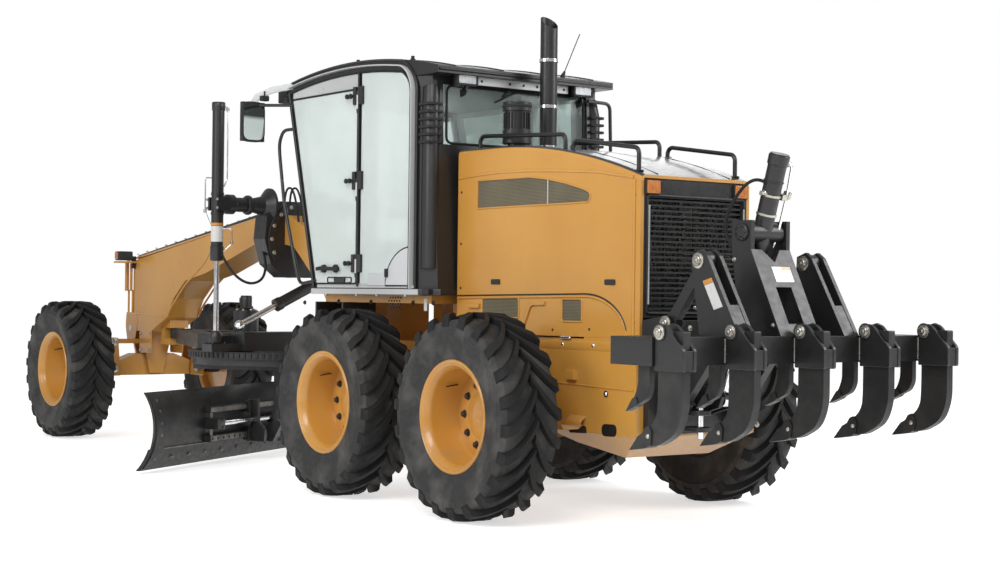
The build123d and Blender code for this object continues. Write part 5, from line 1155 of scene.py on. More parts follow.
# towing pin in its bracket on the rear plate, the plate's bolts, and the ripper cylinder's hose
RIPPER_PLATE = 3.845
pintle = joined(block((0.020, RIPPER_PLATE - 0.01, 0.700), (0.130, RIPPER_PLATE + 0.135, 0.730), 0.03, "Z"),
                block((0.020, RIPPER_PLATE - 0.01, 0.600), (0.130, RIPPER_PLATE + 0.135, 0.630), 0.03, "Z"))
piece("tow_bracket", copies(pintle, [at(0.09, 0, 0)]), paint_black, REAR, bevel=0.004)
pin_shape = lathe(((-0.10, 0), (-0.10, 0.017), (0.088, 0.017), (0.088, 0.028), (0.104, 0.028), (0.104, 0)),
                  20)
piece("tow_pin", copies(pin_shape, [at(0.165, RIPPER_PLATE + 0.085, 0.660) @ UPWARD]), chrome, REAR)
plate_bolts = [(x, RIPPER_PLATE, z) for x in (-0.39, -0.30, 0.30, 0.39) for z in (0.62, 0.72)]
plate_bolts += [(x, RIPPER_PLATE, 1.22) for x in (-0.33, -0.18, 0.18, 0.33)]
piece("rear_plate_bolts", bolts(plate_bolts, (0, 1, 0), 0.013), zinc, REAR)
route = ((0.048, 4.350, 2.075), (0.085, 4.325, 2.105), (0.135, 4.270, 2.080), (0.162, 4.200, 1.990),
         (0.164, 4.135, 1.890), (0.152, 4.115, 1.800), (0.146, 4.130, 1.740), (0.145, 4.180, 1.715))
hose("ripper_hose", route, 0.020, "ripper_barrel")

# ------------------------------------------------------------------ cab: roof, lamps, mirrors and rails
ROOF_REAR = limits("cab_frame")[1][1] + 0.070
for name, side in SIDES:
    rear_x = sorted((side * 0.432, side * 0.582))
    lens = block((rear_x[0], 1.930, 2.842), (rear_x[1], 1.945, 2.912), 0.010, "Y")
    piece(f"rear_lamp_lens_{name}", lens, lamp_clear, REAR, bevel=0.003)
    bezel_line = rectangle((rear_x[0] - 0.012, 2.830), (rear_x[1] + 0.012, 2.924), 0.014)
    piece(f"rear_lamp_bezel_{name}", frame_ring(bezel_line, 0.014, 1.915, 1.950, "Y"), plastic, REAR)
    bracket = bent([(side * 0.507, 1.905, 2.828), (side * 0.507, 1.915, 2.790),
                    (side * 0.507, 1.860, 2.780)], 0.01)
    piece(f"rear_lamp_bracket_{name}", strap(bracket, 0.05, 0.006, (1, 0, 0)), paint_black, REAR)
rear_strip = block((-0.400, 1.899, 2.846), (0.400, 1.906, 2.902), 0.0)
piece("roof_rear_strip", rear_strip, paint_grey, REAR, bevel=0.002)
strip_screws = bolts([(x, 1.906, 2.874) for x in (-0.36, -0.12, 0.0, 0.12, 0.36)], (0, 1, 0), 0.007, 0.005)
piece("roof_strip_screws", strip_screws, steel_dark, REAR)
roof_y = np.linspace(BROW_Y - 0.10, BACK_Y + 0.05, 26)
ridges = [rod(np.c_[np.full(26, x), roof_y, roof_line(roof_y) + 0.001], 0.007, (1, 0, 0), 8)
          for x in (-0.60, -0.2, 0.2, 0.60)]
piece("roof_ridges", joined(*ridges), paint_black, REAR)
edge_line = ((-0.75, ROOF_REAR + 0.001, 2.926), (0.75, ROOF_REAR + 0.001, 2.926))
piece("roof_rear_edge", rod(edge_line, 0.010), paint_black, REAR)
stud = lathe(((0, 0), (0, 0.020), (0.022, 0.020), (0.028, 0.013), (0.046, 0.013), (0.046, 0)), 16)
stud_places = [at(0.62, 0.700, float(roof_line(0.700))) @ UPWARD,
               at(0.50, 1.250, float(roof_line(1.250))) @ UPWARD]
piece("roof_studs", copies(stud, stud_places), plastic, REAR)
antenna_foot, antenna_tip = np.array((-0.364, 1.880, 2.965)), np.array((-0.520, 1.880, 3.290))
antenna_line = antenna_foot + np.linspace(0, 1, 6)[:, None] * (antenna_tip - antenna_foot)
piece("antenna", rod(antenna_line, 0.0035, (0, 1, 0), 8), steel_dark, REAR)
boss = lathe(((-0.01, 0), (-0.01, 0.018), (0.015, 0.016), (0.05, 0.007), (0.05, 0)), 16)
antenna_way = Matrix.Translation(antenna_foot) @ facing(antenna_tip - antenna_foot)
piece("antenna_foot", copies(boss, [antenna_way]), plastic, REAR)
wiper_arm = bent([(0.060, 1.842, 2.905), (0.075, 1.850, 2.850), (0.14, 1.846, 2.790)], 0.02)
wiper = joined(rod(wiper_arm, 0.008, (0, 1, 0)),
               strap(((0.02, 1.838, 2.83), (0.20, 1.838, 2.745)), 0.012, 0.010, (0, 1, 0)),
               block((0.035, 1.830, 2.880), (0.085, 1.862, 2.930), 0.01))
piece("rear_wiper", wiper, plastic, REAR)

# rear window seal, the grab rail at the right rear corner, and one before each door
window_line = rectangle((-0.60, 2.440), (0.60, 2.835), 0.05, 6)
seal_path = np.c_[window_line[:, 0], np.full(len(window_line), 1.832), window_line[:, 1]]
piece("rear_window_seal", rod(seal_path, 0.009, (0, 1, 0), 8, closed=True), seal_rubber, REAR)
rail = bent([(-0.600, 1.880, 2.812), (-0.800, 1.890, 2.806), (-0.812, 1.890, 2.46), (-0.812, 1.885, 1.75),
             (-0.700, 1.860, 1.70)], 0.05)
piece("rear_grab_rail_right", rod(rail, 0.013), paint_black, REAR)
front_rail = bent([(0.752, 0.020, 2.655), (0.790, -0.110, 2.650), (0.790, -0.172, 2.560),
                   (0.790, -0.165, 2.474), (0.790, -0.087, 2.102), (0.790, 0.120, 1.575),
                   (0.790, 0.180, 1.470), (0.760, 0.400, 1.500)], 0.045)
pair("front_grab_rails", rod(front_rail, 0.013, (1, 0, 0)), paint_black, REAR)

# mirrors: a rounded shell over each, its glass, its pale arm and a small lamp under the arm
MIRROR = np.array((0.995, -0.230, 2.710))
shell_line = rectangle((-0.100, -0.155), (0.100, 0.155), 0.070, 8) + MIRROR[[0, 2]]
pair("mirror_shells", slab(shell_line, -0.2500, -0.2050, "Y"), plastic, REAR, bevel=0.010)
glass_line = rectangle((-0.086, -0.140), (0.086, 0.140), 0.058, 8) + MIRROR[[0, 2]]
# each glass shows a painted reflection, pale below and dark above
pair("mirror_glasses", slab(glass_line, -0.2080, -0.2030, "Y"), mirror_painted_reflection, REAR, bevel=0.001)
arm = bent([(0.760, -0.020, 2.985), (0.880, -0.120, 2.955), (0.965, -0.215, 2.905), (0.985, -0.232, 2.855)],
           0.02)
pair("mirror_arms", strap(arm, 0.016, 0.050, (0, 0, 1), 0.005), paint_grey, REAR)
small_lamp = joined(block((0.905, -0.185, 2.868), (0.960, -0.130, 2.908), 0.008),
                    rod(((0.932, -0.158, 2.90), (0.930, -0.160, 2.945)), 0.006, (1, 0, 0)))
pair("mirror_arm_lamps", small_lamp, plastic, REAR, bevel=0.003)
work_box = joined(block((0.655, -0.235, 2.868), (0.770, -0.090, 2.985), 0.014),
                  block((0.700, -0.110, 2.975), (0.745, 0.010, 3.000), 0.006))
pair("front_work_lamp_boxes", work_box, plastic, REAR, bevel=0.006)
lens_line = rectangle((0.668, 2.880), (0.758, 2.973), 0.014)
pair("front_work_lamp_lenses", slab(lens_line, -0.2400, -0.2330, "Y"), lamp_clear, REAR, bevel=0.002)

# under the cab: the chassis' perforated patches, tabs along the sill, a blank plate and bolts
CHASSIS_X = 0.7005
# the black dots are painted shade in the perforations
dots = [(CHASSIS_X, 1.290 + 0.034 * column + 0.017 * (row % 2), 1.312 + 0.022 * row)
        for column in range(5) for row in range(4)]
spot = disc(0, 0.002, 0.0075, 10)
pair("chassis_vents", copies(spot, spots(dots)), plastic, REAR)
tabs = joined(*[block((0.772, y - 0.010, 1.385), (0.786, y + 0.010, 1.402), 0.004)
                for y in (0.55, 0.98, 1.25, 1.62)])
pair("sill_tabs", tabs, trim_silver, REAR, bevel=0.002)
plate_line = ((1.735, 1.290), (1.775, 1.290), (1.775, 1.375), (1.735, 1.375))
piece("chassis_plate_white", slab(plate_line, 0.700, 0.703), label_blank, REAR, bevel=0.0006)
chassis_bolts = [(CHASSIS_X, y, z) for y, z in ((0.10, 1.33), (0.10, 1.10))]
chassis_bolts += [(CHASSIS_X, y, 1.345) for y in (0.60, 1.05, 1.60, 1.85)]
pair("chassis_bolts", bolts(chassis_bolts, (1, 0, 0), 0.012), steel_dark, REAR)

# ------------------------------------------------------------------ inside the cab
seat_low, seat_high = limits("seat")
CUSHION_TOP = seat_low[2] + 0.110


def swollen(name, low, high, crown, limit):
    """A cushion: a rounded block, puffed up under pressure by a cloth run, then smoothed once.

    The block's sides draw in towards its top and bottom by the fourth power of the height, and its top
    is crowned by the product of two half cosines; the cloth run then rounds it between its corners.
    """
    low, high = np.array(low), np.array(high)
    centre, half = (low + high) / 2, (high - low) / 2
    levels = np.linspace(-1, 1, 9)
    turn = np.linspace(0, 2 * np.pi, 48, endpoint=False)
    squircle = np.stack((np.sign(np.cos(turn)) * np.abs(np.cos(turn)) ** 0.35,
                         np.sign(np.sin(turn)) * np.abs(np.sin(turn)) ** 0.35), -1)
    draw = 1 - 0.10 * np.abs(levels) ** 4
    rings = [np.c_[squircle * half[:2] * scale, np.full(48, level * half[2])]
             for level, scale in zip(levels, draw)]
    flat = squircle * half[:2] * 0.9
    lid = [np.c_[flat * share, np.full(48, half[2] + crown * math.cos(share * math.pi / 2))]
           for share in (0.8, 0.55, 0.3, 0.08)]
    base = [np.c_[flat * share, np.full(48, -half[2])] for share in (0.08, 0.5)]
    points, faces = capped(np.array(base + rings + lid) + centre)
    made = piece(name, (points, faces), seat_cloth, REAR, sharp=80)
    puff(made, limit)
    smooth = made.modifiers.new("smooth", "SUBSURF")
    smooth.levels = smooth.render_levels = 1
    return made


def puff(made, limit):
    """Remeshes a piece, runs cloth under pressure for 20 frames and keeps what moved less than a limit."""
    bpy.context.view_layer.objects.active = made
    remesh = made.modifiers.new("voxels", "REMESH")
    remesh.mode = "VOXEL"
    remesh.voxel_size = 0.012
    bake(made)
    start = np.empty(len(made.data.vertices) * 3, np.float32)
    made.data.vertices.foreach_get("co", start)
    cloth = made.modifiers.new("cloth", "CLOTH")
    cloth.settings.use_pressure = True
    cloth.settings.uniform_pressure_force = 4
    cloth.settings.effector_weights.gravity = 0
    cloth.point_cache.frame_end = 20
    for frame_number in range(1, 21):
        bpy.context.scene.frame_set(frame_number)
    bake(made)
    end = np.empty(len(made.data.vertices) * 3, np.float32)
    made.data.vertices.foreach_get("co", end)
    move = (end - start).reshape(-1, 3)
    far = np.linalg.norm(move, axis=1, keepdims=True)
    move *= np.minimum(1, limit / np.maximum(far, 1e-9))
    made.data.vertices.foreach_set("co", (start.reshape(-1, 3) + move).ravel())
    made.data.update()
    bpy.context.scene.frame_set(1)


def bake(made):
    """Replaces a piece's mesh by what its modifiers make of it."""
    ready = made.evaluated_get(bpy.context.evaluated_depsgraph_get())
    mesh = bpy.data.meshes.new_from_object(ready)
    made.modifiers.clear()
    made.data = mesh
    mesh.shade_smooth()


cushion = swollen("seat_cushion", (seat_low[0] + 0.012, seat_low[1] + 0.012, seat_low[2] + 0.012),
                  (seat_high[0] - 0.012, seat_low[1] + 0.400, CUSHION_TOP - 0.026), 0.012, 0.008)
back = swollen("seat_back", (seat_low[0] + 0.024, seat_low[1] + 0.404, CUSHION_TOP - 0.010),
               (seat_high[0] - 0.024, seat_high[1] - 0.008, seat_high[2] - 0.030), 0.010, 0.008)
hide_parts("seat")
stitch = [bent([(side * 0.10, seat_low[1] + 0.035, CUSHION_TOP - 0.010),
                (side * 0.10, seat_low[1] + 0.21, CUSHION_TOP - 0.006),
                (side * 0.10, seat_low[1] + 0.38, CUSHION_TOP - 0.010)], 0.05) for side in (-1, 1)]
piece("seat_seams", joined(*[rod(line, 0.004, (1, 0, 0), 6) for line in stitch]), seat_cloth, REAR)
lever = joined(rod(((0, 0, 0), (0, 0, 0.11)), 0.006, (0, 1, 0)),
               copies(dome(0.016, 0.02), [at(0, 0, 0.105) @ UPWARD]))
lever_places = [at(side * (0.10 + 0.034 * step), AXLE_Y - 1.415, 2.045) @ turned(side * 12, "Y")
                for side in (-1, 1) for step in range(4)]
piece("control_levers", copies(lever, lever_places), plastic, REAR)
lever_box = joined(*[block((side * 0.055, AXLE_Y - 1.50, 1.97), (side * 0.24, AXLE_Y - 1.36, 2.055), 0.02)
                     for side in (-1, 1)])
piece("lever_boxes", lever_box, plastic, REAR, bevel=0.006)
rests = [block((side * 0.245, AXLE_Y - 0.86, 2.02), (side * 0.32, AXLE_Y - 0.50, 2.07), 0.02, "Z")
         for side in (-1, 1)]
props = [rod(((side * 0.28, AXLE_Y - 0.52, 2.03), (side * 0.24, AXLE_Y - 0.46, 1.98)), 0.012)
         for side in (-1, 1)]
piece("arm_rests", joined(*rests, *props), plastic, REAR, bevel=0.008)

# ------------------------------------------------------------------ front frame and saddle
BEAM_X = 0.160
NOSE_Y = limits("front_frame")[0][1]
SADDLE_Y = middle("saddle")[1]
LIFT_X = middle("lift_barrel_left")[0]
WELD_LINE = ((-2.520, 1.812), (-2.585, 1.768), (-2.700, 1.665), (-3.096, 1.461), (-3.380, 1.255),
             (-3.470, 1.160))
weld = bent([(BEAM_X + 0.001, y, z) for y, z in WELD_LINE], 0.05)
pair("beam_weld_curve", carried(disc_outline(0.011, 10, 0.7), weld, (1, 0, 0)), paint_orange, FRONT)
RIDGE_LINE = ((-4.380, 1.180), (-3.900, 1.180), (-3.560, 1.165))
ridge = bent([(BEAM_X + 0.001, y, z) for y, z in RIDGE_LINE], 0.05)
pair("beam_lower_fold", rod(ridge, 0.009, (1, 0, 0)), paint_orange, FRONT)
top_edge = [(BEAM_X - 0.006, y, z) for y, z in ((NOSE_Y + 0.02, 1.697), (SADDLE_Y - 0.21, 2.064))]
pair("beam_top_welds", rod(top_edge, 0.010, (1, 0, 0)), paint_orange, FRONT)
cover_y = np.linspace(NOSE_Y + 0.12, SADDLE_Y - 0.24, 14)
cover_z = np.interp(cover_y, (NOSE_Y, SADDLE_Y - 0.2), (1.690, 2.062))
cover_bolts = [(x, y, z + 0.0555) for y, z in zip(cover_y, cover_z) for x in (-0.088, 0.088)]
piece("beam_cover_bolts", bolts(cover_bolts, (0, -0.117, 0.99), 0.009, 0.008), zinc, FRONT)

# nose: upright tubes with thinner lower runs, the lamps' shelf, an ear with a hole, a bolted plate, lamps
TUBES = (                # distance out from the beam's side, Y behind the nose, Z from and to, radius
    (0.016, 0.060, 1.400, 1.680, 0.020), (0.012, 0.150, 1.400, 1.670, 0.014),
    (-0.006, 0.060, 1.150, 1.410, 0.010), (-0.006, 0.150, 1.150, 1.410, 0.010))
tubes = joined(*[rod(((BEAM_X + out, NOSE_Y + y, foot), (BEAM_X + out, NOSE_Y + y, top)), radius, (1, 0, 0))
                 for out, y, foot, top, radius in TUBES])
pair("nose_tubes", tubes, paint_orange, FRONT)
shelf = block((BEAM_X - 0.02, NOSE_Y + 0.115, 1.672), (0.345, NOSE_Y + 0.255, 1.690), 0.010, "Z")
pair("lamp_shelves", shelf, paint_orange, FRONT, bevel=0.003)
EAR_SIDE = [(NOSE_Y + behind, z, ease) for behind, z, ease in (
    (0.030, 1.180, 0.01), (0.010, 1.060, 0.05), (0.060, 0.900, 0.05), (0.230, 0.900, 0.05),
    (0.290, 1.100, 0.04), (0.260, 1.180, 0.01))]
pair("nose_ears", slab(eased(EAR_SIDE), BEAM_X - 0.004, BEAM_X + 0.004), paint_orange, FRONT, bevel=0.002)
# a pale disc: the bright backdrop painted where it shows through the ear's hole
hole = copies(disc(0, 0.0015, 0.030, 28), [at(BEAM_X + 0.004, NOSE_Y + 0.125, 1.035)])
pair("nose_ear_holes", hole, label_blank, FRONT)
plate_line = eased(((NOSE_Y + 0.35, 1.02, 0.03), (NOSE_Y + 0.62, 1.02, 0.03), (NOSE_Y + 0.62, 0.80, 0.03),
                    (NOSE_Y + 0.35, 0.80, 0.03)))
pair("nose_side_plates", slab(plate_line, BEAM_X - 0.002, BEAM_X + 0.006), paint_orange, FRONT, bevel=0.002)
nose_bolts = [(BEAM_X + 0.006, NOSE_Y + y, z) for y in (0.38, 0.59) for z in (0.83, 0.99)]
pair("nose_side_bolts", bolts(nose_bolts, (1, 0, 0), 0.013), zinc, FRONT)
for name, side in SIDES:
    box_x = sorted((side * 0.198, side * 0.338))
    shell_line = rectangle((box_x[0], 1.698), (box_x[1], 1.787), 0.016)
    piece(f"head_lamp_shell_{name}", slab(shell_line, NOSE_Y + 0.145, NOSE_Y + 0.245, "Y"), plastic, FRONT,
          bevel=0.006)
    front = rectangle((box_x[0] + 0.012, 1.710), (box_x[1] - 0.045, 1.775), 0.012)
    piece(f"head_lamp_lens_{name}", slab(front, NOSE_Y + 0.136, NOSE_Y + 0.150, "Y"), lamp_clear, FRONT,
          bevel=0.003)
    outer_x = sorted((side * 0.296, side * 0.344))
    amber = rectangle((outer_x[0], 1.708), (outer_x[1], 1.777), 0.010)
    piece(f"turn_lamp_{name}", slab(amber, NOSE_Y + 0.138, NOSE_Y + 0.205, "Y"), lamp_amber, FRONT,
          bevel=0.003)

# saddle: ring on each face with its bolts, open at the rear's foot; roots, rings and bolts on the arms
SADDLE_Z, ARM_Z, RING_RADIUS = 1.850, 2.130, 0.292
saddle_front, saddle_rear = (corner[1] for corner in limits("saddle"))
for name, y, way, ends, steps in (("rear", saddle_rear, 1, (-35, 215), range(-5, 6)),
                                  ("front", saddle_front, -1, (-90, 270), range(16))):
    angles = np.radians(np.linspace(*ends, 65))
    arc = np.c_[RING_RADIUS * np.cos(angles), np.full(65, y + way * 0.008),
                SADDLE_Z + RING_RADIUS * np.sin(angles)]
    piece(f"saddle_ring_{name}", strap(arc, 0.060, 0.020, (0, 1, 0), 0.005), paint_black, FRONT)
    place = at(0, y, SADDLE_Z) @ facing((0, way, 0))
    bolt_places = [place @ turned(22.5 * step) @ at(0.018, 0, RING_RADIUS) for step in steps]
    piece(f"saddle_ring_bolts_{name}", copies(bolt(0.013, 0.010), bolt_places), zinc, FRONT)
arm_ring = lathe_closed(((0, 0.058), (0, 0.076), (0.012, 0.082), (0.030, 0.082), (0.042, 0.076),
                         (0.042, 0.058)), 36)
tapers = lathe_closed(((0, 0.0595), (0, 0.150), (0.020, 0.150), (0.080, 0.080), (0.150, 0.064),
                       (0.180, 0.0595)), 36)
pair("saddle_arm_roots", copies(tapers, [at(0.250, SADDLE_Y, ARM_Z)]), paint_black, FRONT)
pair("saddle_arm_rings", copies(arm_ring, [at(0.440, SADDLE_Y, ARM_Z)]), paint_black, FRONT)
end_bolts = [(LIFT_X + 0.045, SADDLE_Y + y, ARM_Z + z) for y in (-0.093, 0.093) for z in (-0.035, 0.035)]
pair("saddle_end_bolts", bolts(end_bolts, (1, 0, 0), 0.009), zinc, FRONT)
bolt_places = [at(LIFT_X - 0.140, SADDLE_Y, ARM_Z) @ turned(45 * step) @ at(0, 0, 0.066) @ turned(180, "Z")
               for step in range(8)]
pair("saddle_arm_bolts", copies(bolt(0.010, 0.009), bolt_places), zinc, FRONT)

# lift cylinders: end cap, gland and rings, a blank plate with its band, steel tubes and the rod's ball socket
LIFT_TUBES = (           # each through points: X and Y from the cylinder's axis, and Z
    ((-0.035, 0.030, 2.935), (-0.058, 0.052, 2.930), (-0.060, 0.052, 2.60), (-0.060, 0.052, 2.330),
     (-0.038, 0.034, 2.270)),
    ((0.030, -0.035, 2.345), (0.085, -0.055, 2.345), (0.085, -0.055, 2.16), (0.085, -0.055, 2.075)),
    ((0.085, -0.055, 2.075), (0.060, -0.040, 2.000), (0.030, -0.030, 1.930)),
    ((-0.030, 0.038, 1.925), (-0.090, 0.085, 1.925), (-0.092, 0.086, 1.80), (-0.040, 0.036, 1.735)))
for name, side in SIDES:
    body = f"lift_barrel_{name}"
    x = side * LIFT_X
    place = at(x, SADDLE_Y, 0) @ UPWARD
    rings = joined(lathe(((2.9000, 0.0), (2.9000, 0.0525), (2.9050, 0.056), (2.9640, 0.056),
                          (2.9699, 0.052), (2.9699, 0.040), (2.9660, 0.036), (2.9660, 0.0)), 40),
                   lathe_closed(((1.662, 0.030), (1.662, 0.052), (1.670, 0.056), (1.776, 0.056),
                                 (1.782, 0.051), (1.782, 0.045), (1.670, 0.030)), 40),
                   collar(2.040, 2.060, 0.0490, 0.0545, 40), collar(2.200, 2.222, 0.0490, 0.0545, 40))
    piece(f"lift_cylinder_rings_{name}", copies(rings, [place]), paint_black, body)
    seal = lathe_closed(((1.658, 0.0225), (1.658, 0.033), (1.666, 0.036), (1.666, 0.0225)), 32)
    piece(f"lift_cylinder_seal_{name}", copies(seal, [place]), seal_rubber, body)
    wrap = collar(1.815, 1.945, 0.0495, 0.0512, 40)
    piece(f"lift_cylinder_plate_{name}", copies(wrap, [place]), label_blank, body)
    band = collar(1.948, 1.972, 0.0495, 0.0513, 40)
    piece(f"lift_cylinder_band_{name}", copies(band, [place]), label_band, body)
    routes = [bent([(x + over, SADDLE_Y + behind, z) for over, behind, z in line], 0.02)
              for line in LIFT_TUBES]
    tubes = joined(*[rod(line, 0.0055, (0.6, 0.8, 0), 8) for line in routes])
    piece(f"lift_cylinder_tubes_{name}", tubes, chrome, body)
    nut = disc(0, 0.030, 0.013, 6)
    nuts = [at(x + over, SADDLE_Y + behind, z) @ UPWARD for over, behind, z in (
        (0.085, -0.055, 2.055), (-0.058, 0.052, 2.895), (-0.092, 0.086, 1.795))]
    piece(f"lift_cylinder_nuts_{name}", copies(nut, nuts), zinc, body)
    cap = lathe_closed(((-0.060, 0.0225), (-0.060, 0.046), (-0.045, 0.054), (0.020, 0.054), (0.052, 0.040),
                        (0.062, 0.0225)), 32)
    piece(f"lift_ball_socket_{name}", copies(cap, [at(x, SADDLE_Y, 1.020) @ UPWARD]), paint_black,
          f"lift_rod_{name}")

# front axle: caps on the middle pin and the lean pins, hubs and their bolts
LEAN_X, LEAN_Z = 0.437, (0.650, 0.910)
lean_cap = lathe(((0, 0), (0, 0.040), (0.010, 0.040), (0.014, 0.034), (0.014, 0)), 24)
piece("axle_centre_cap", copies(joined(lean_cap, copies(bolt(0.010, 0.008), [at(0.014, 0, 0)])),
                                [at(0, -4.430, 0.690) @ FORWARD]), zinc, FRONT)
for name, side in SIDES:
    caps = [at(side * LEAN_X, y, z) @ way for z in LEAN_Z
            for y, way in ((-4.291, FORWARD), (-4.039, BACKWARD))]
    piece(f"lean_pin_caps_{name}", copies(joined(lean_cap, copies(bolt(0.009, 0.007), [at(0.014, 0, 0)])),
                                          caps), zinc, f"lean_{name}")
    hub = lathe(((0, 0), (0, 0.115), (0.040, 0.110), (0.055, 0.085), (0.075, 0.080), (0.082, 0.060),
                 (0.082, 0)), 40)
    hub_way = at(*middle(f"tyre_front_{name}")) @ Matrix.Diagonal((side, 1, 1, 1)) @ at(-0.066, 0, 0)
    piece(f"front_hub_{name}", copies(hub, [hub_way]), paint_orange, f"wheel_front_{name}")
    bolt_places = [hub_way @ turned(60 * step) @ at(0.076, 0, 0.068) for step in range(6)]
    piece(f"front_hub_bolts_{name}", copies(bolt(0.008, 0.006), bolt_places), steel_dark,
          f"wheel_front_{name}")

# hoses: one from each lift cylinder to the saddle, and two over the saddle's top
for name, side in SIDES:
    route = ((0.710, -1.262, 1.700), (0.700, -1.180, 1.610), (0.660, -1.070, 1.510), (0.560, -1.035, 1.465),
             (0.440, -1.050, 1.510), (0.360, -1.150, 1.650), (0.315, -1.290, 1.740))
    hose(f"lift_hose_{name}", [(side * x, y, z) for x, y, z in route], 0.022, FRONT)
over_saddle = ((-1.235, 2.150), (-1.225, 2.240), (-1.170, 2.290), (-1.090, 2.265), (-1.020, 2.120),
               (-0.990, 1.990))
for number, x in enumerate((0.100, 0.150)):
    hose(f"saddle_hose_{number}", [(x, y, z) for y, z in over_saddle], 0.018, FRONT)

# ------------------------------------------------------------------ drawbar, circle and blade
CIRCLE = np.array((0.0, SADDLE_Y - 0.280))
BLADE_ANGLE = 32         # degrees that the blade stands turned at rest
blade_turn = at(*CIRCLE, 0) @ turned(BLADE_ANGLE, "Z")


def on_blade(shape):
    """A shape drawn along the blade, behind it and upwards, put where the blade stands."""
    return copies(shape, [blade_turn])


def blade_back(z):
    """How far behind the blade's own line its back face lies at a height: part of a circle."""
    (b0, z0), (b1, z1), (b2, z2) = (-0.165, 0.022), (-0.028, 0.320), (-0.120, 0.625)
    matrix = np.array(((b1 - b0, z1 - z0), (b2 - b0, z2 - z0))) * 2
    bow = np.array((b1 ** 2 - b0 ** 2 + z1 ** 2 - z0 ** 2, b2 ** 2 - b0 ** 2 + z2 ** 2 - z0 ** 2))
    centre_b, centre_z = np.linalg.solve(matrix, bow)
    radius = math.hypot(b0 - centre_b, z0 - centre_z)
    return centre_b + np.sqrt(radius ** 2 - (np.asarray(z) - centre_z) ** 2) + 0.022


BLADE_ENDS = np.array((-1.983, 1.877))
tooth = slab(((0.748, -0.017), (0.768, -0.010), (0.768, 0.010), (0.748, 0.017)), 0.856, 0.898, "Z")
piece("circle_teeth", copies(tooth, [at(*CIRCLE, 0) @ turned(4 * step, "Z") for step in range(90)]),
      steel_dark, "circle")
rim = collar(0.848, 0.856, 0.735, 0.764, 96)
rim_top = collar(0.8985, 0.9060, 0.735, 0.764, 96)
piece("circle_rims", copies(joined(rim, rim_top), [at(*CIRCLE, 0) @ UPWARD]), paint_black, "circle")
edge_run = np.linspace(*(BLADE_ENDS + (0.08, -0.08)), 16)
bolt_way = facing((0, 1, -0.45))
edge_bolts = copies(bolt(0.014, 0.012), [at(along, float(blade_back(0.115)) + 0.001, 0.115) @ bolt_way
                                         for along in edge_run])
end_rows = [at(along, float(blade_back(z)) + 0.001, z) @ facing((0, 1, (z - 0.32) * 1.3))
            for along in (BLADE_ENDS[0] + 0.075, BLADE_ENDS[1] - 0.075)
            for z in (0.21, 0.30, 0.39, 0.48, 0.56)]
end_bolts = copies(bolt(0.014, 0.012), end_rows)
piece("blade_bolts", on_blade(joined(edge_bolts, end_bolts)), steel_cut, "moldboard")
strips = []
for end, way in ((BLADE_ENDS[0], 1), (BLADE_ENDS[1], -1)):
    heights = np.linspace(0.035, 0.615, 14)
    back = blade_back(heights)
    ring = [(end + way * 0.009, back - 0.004), (end + way * 0.009, back + 0.012),
            (end + way * 0.145, back + 0.012), (end + way * 0.150, back - 0.004)]
    strips.append(capped(np.stack([np.stack((np.full(14, x), b, heights), -1) for x, b in ring], 1)))
piece("blade_end_bits", on_blade(joined(*strips)), steel_dark, "moldboard", bevel=0.002)
SEAM_Z = 0.192
seam_back = float(blade_back(SEAM_Z)) + 0.001
seam = [(BLADE_ENDS[0] + 0.01, seam_back, SEAM_Z), (BLADE_ENDS[1] - 0.01, seam_back, SEAM_Z)]
piece("blade_edge_seam", on_blade(rod(seam, 0.008)), steel_cut, "moldboard")
top_lip = [(BLADE_ENDS[0] + 0.01, -0.112, 0.618), (BLADE_ENDS[1] - 0.01, -0.112, 0.618)]
piece("blade_top_lip", on_blade(rod(top_lip, 0.007)), steel_dark, "moldboard")
rail_strip = joined(block((-1.148, 0.0355, 0.202), (1.148, 0.0385, 0.244)),
                    block((-1.148, 0.0355, 0.437), (1.148, 0.0385, 0.474)))
piece("blade_rail_faces", on_blade(rail_strip), steel_cut, "moldboard", bevel=0.001)
# the dark blocks are painted shade in the rail's notches
notches = joined(*[block((along, 0.0375, 0.212), (along + 0.022, 0.0400, 0.234))
                   for along in np.arange(0.60, 1.12, 0.085)])
piece("blade_rail_notches", on_blade(notches), plastic, "moldboard")
lug_plate = slab(eased(((1.112, 0.195, 0.01), (1.150, 0.195, 0.01), (1.150, 0.480, 0.01),
                        (1.112, 0.480, 0.01))), 0.028, 0.034, "Y")
piece("blade_rail_ends", on_blade(lug_plate), steel_cut, "moldboard", bevel=0.002)
gland = lathe_closed(((0, 0.0215), (0, 0.046), (0.048, 0.046), (0.052, 0.036), (0.052, 0.0215)), 32)
tail = disc(0, 0.030, 0.044, 32)
ends = joined(copies(gland, [at(0.200, 0.068, 0.342)]), copies(tail, [at(-0.9595, 0.068, 0.342)]))
piece("shift_cylinder_ends", on_blade(ends), paint_black, "blade_carrier")
rod_clamp = joined(block((1.040, 0.030, 0.300), (1.108, 0.106, 0.384), 0.012, "X"),
                   copies(bolt(0.012, 0.010), [at(1.075, 0.104, z) @ BACKWARD for z in (0.312, 0.372)]))
piece("shift_rod_clamp", on_blade(rod_clamp), paint_black, "moldboard", bevel=0.004)

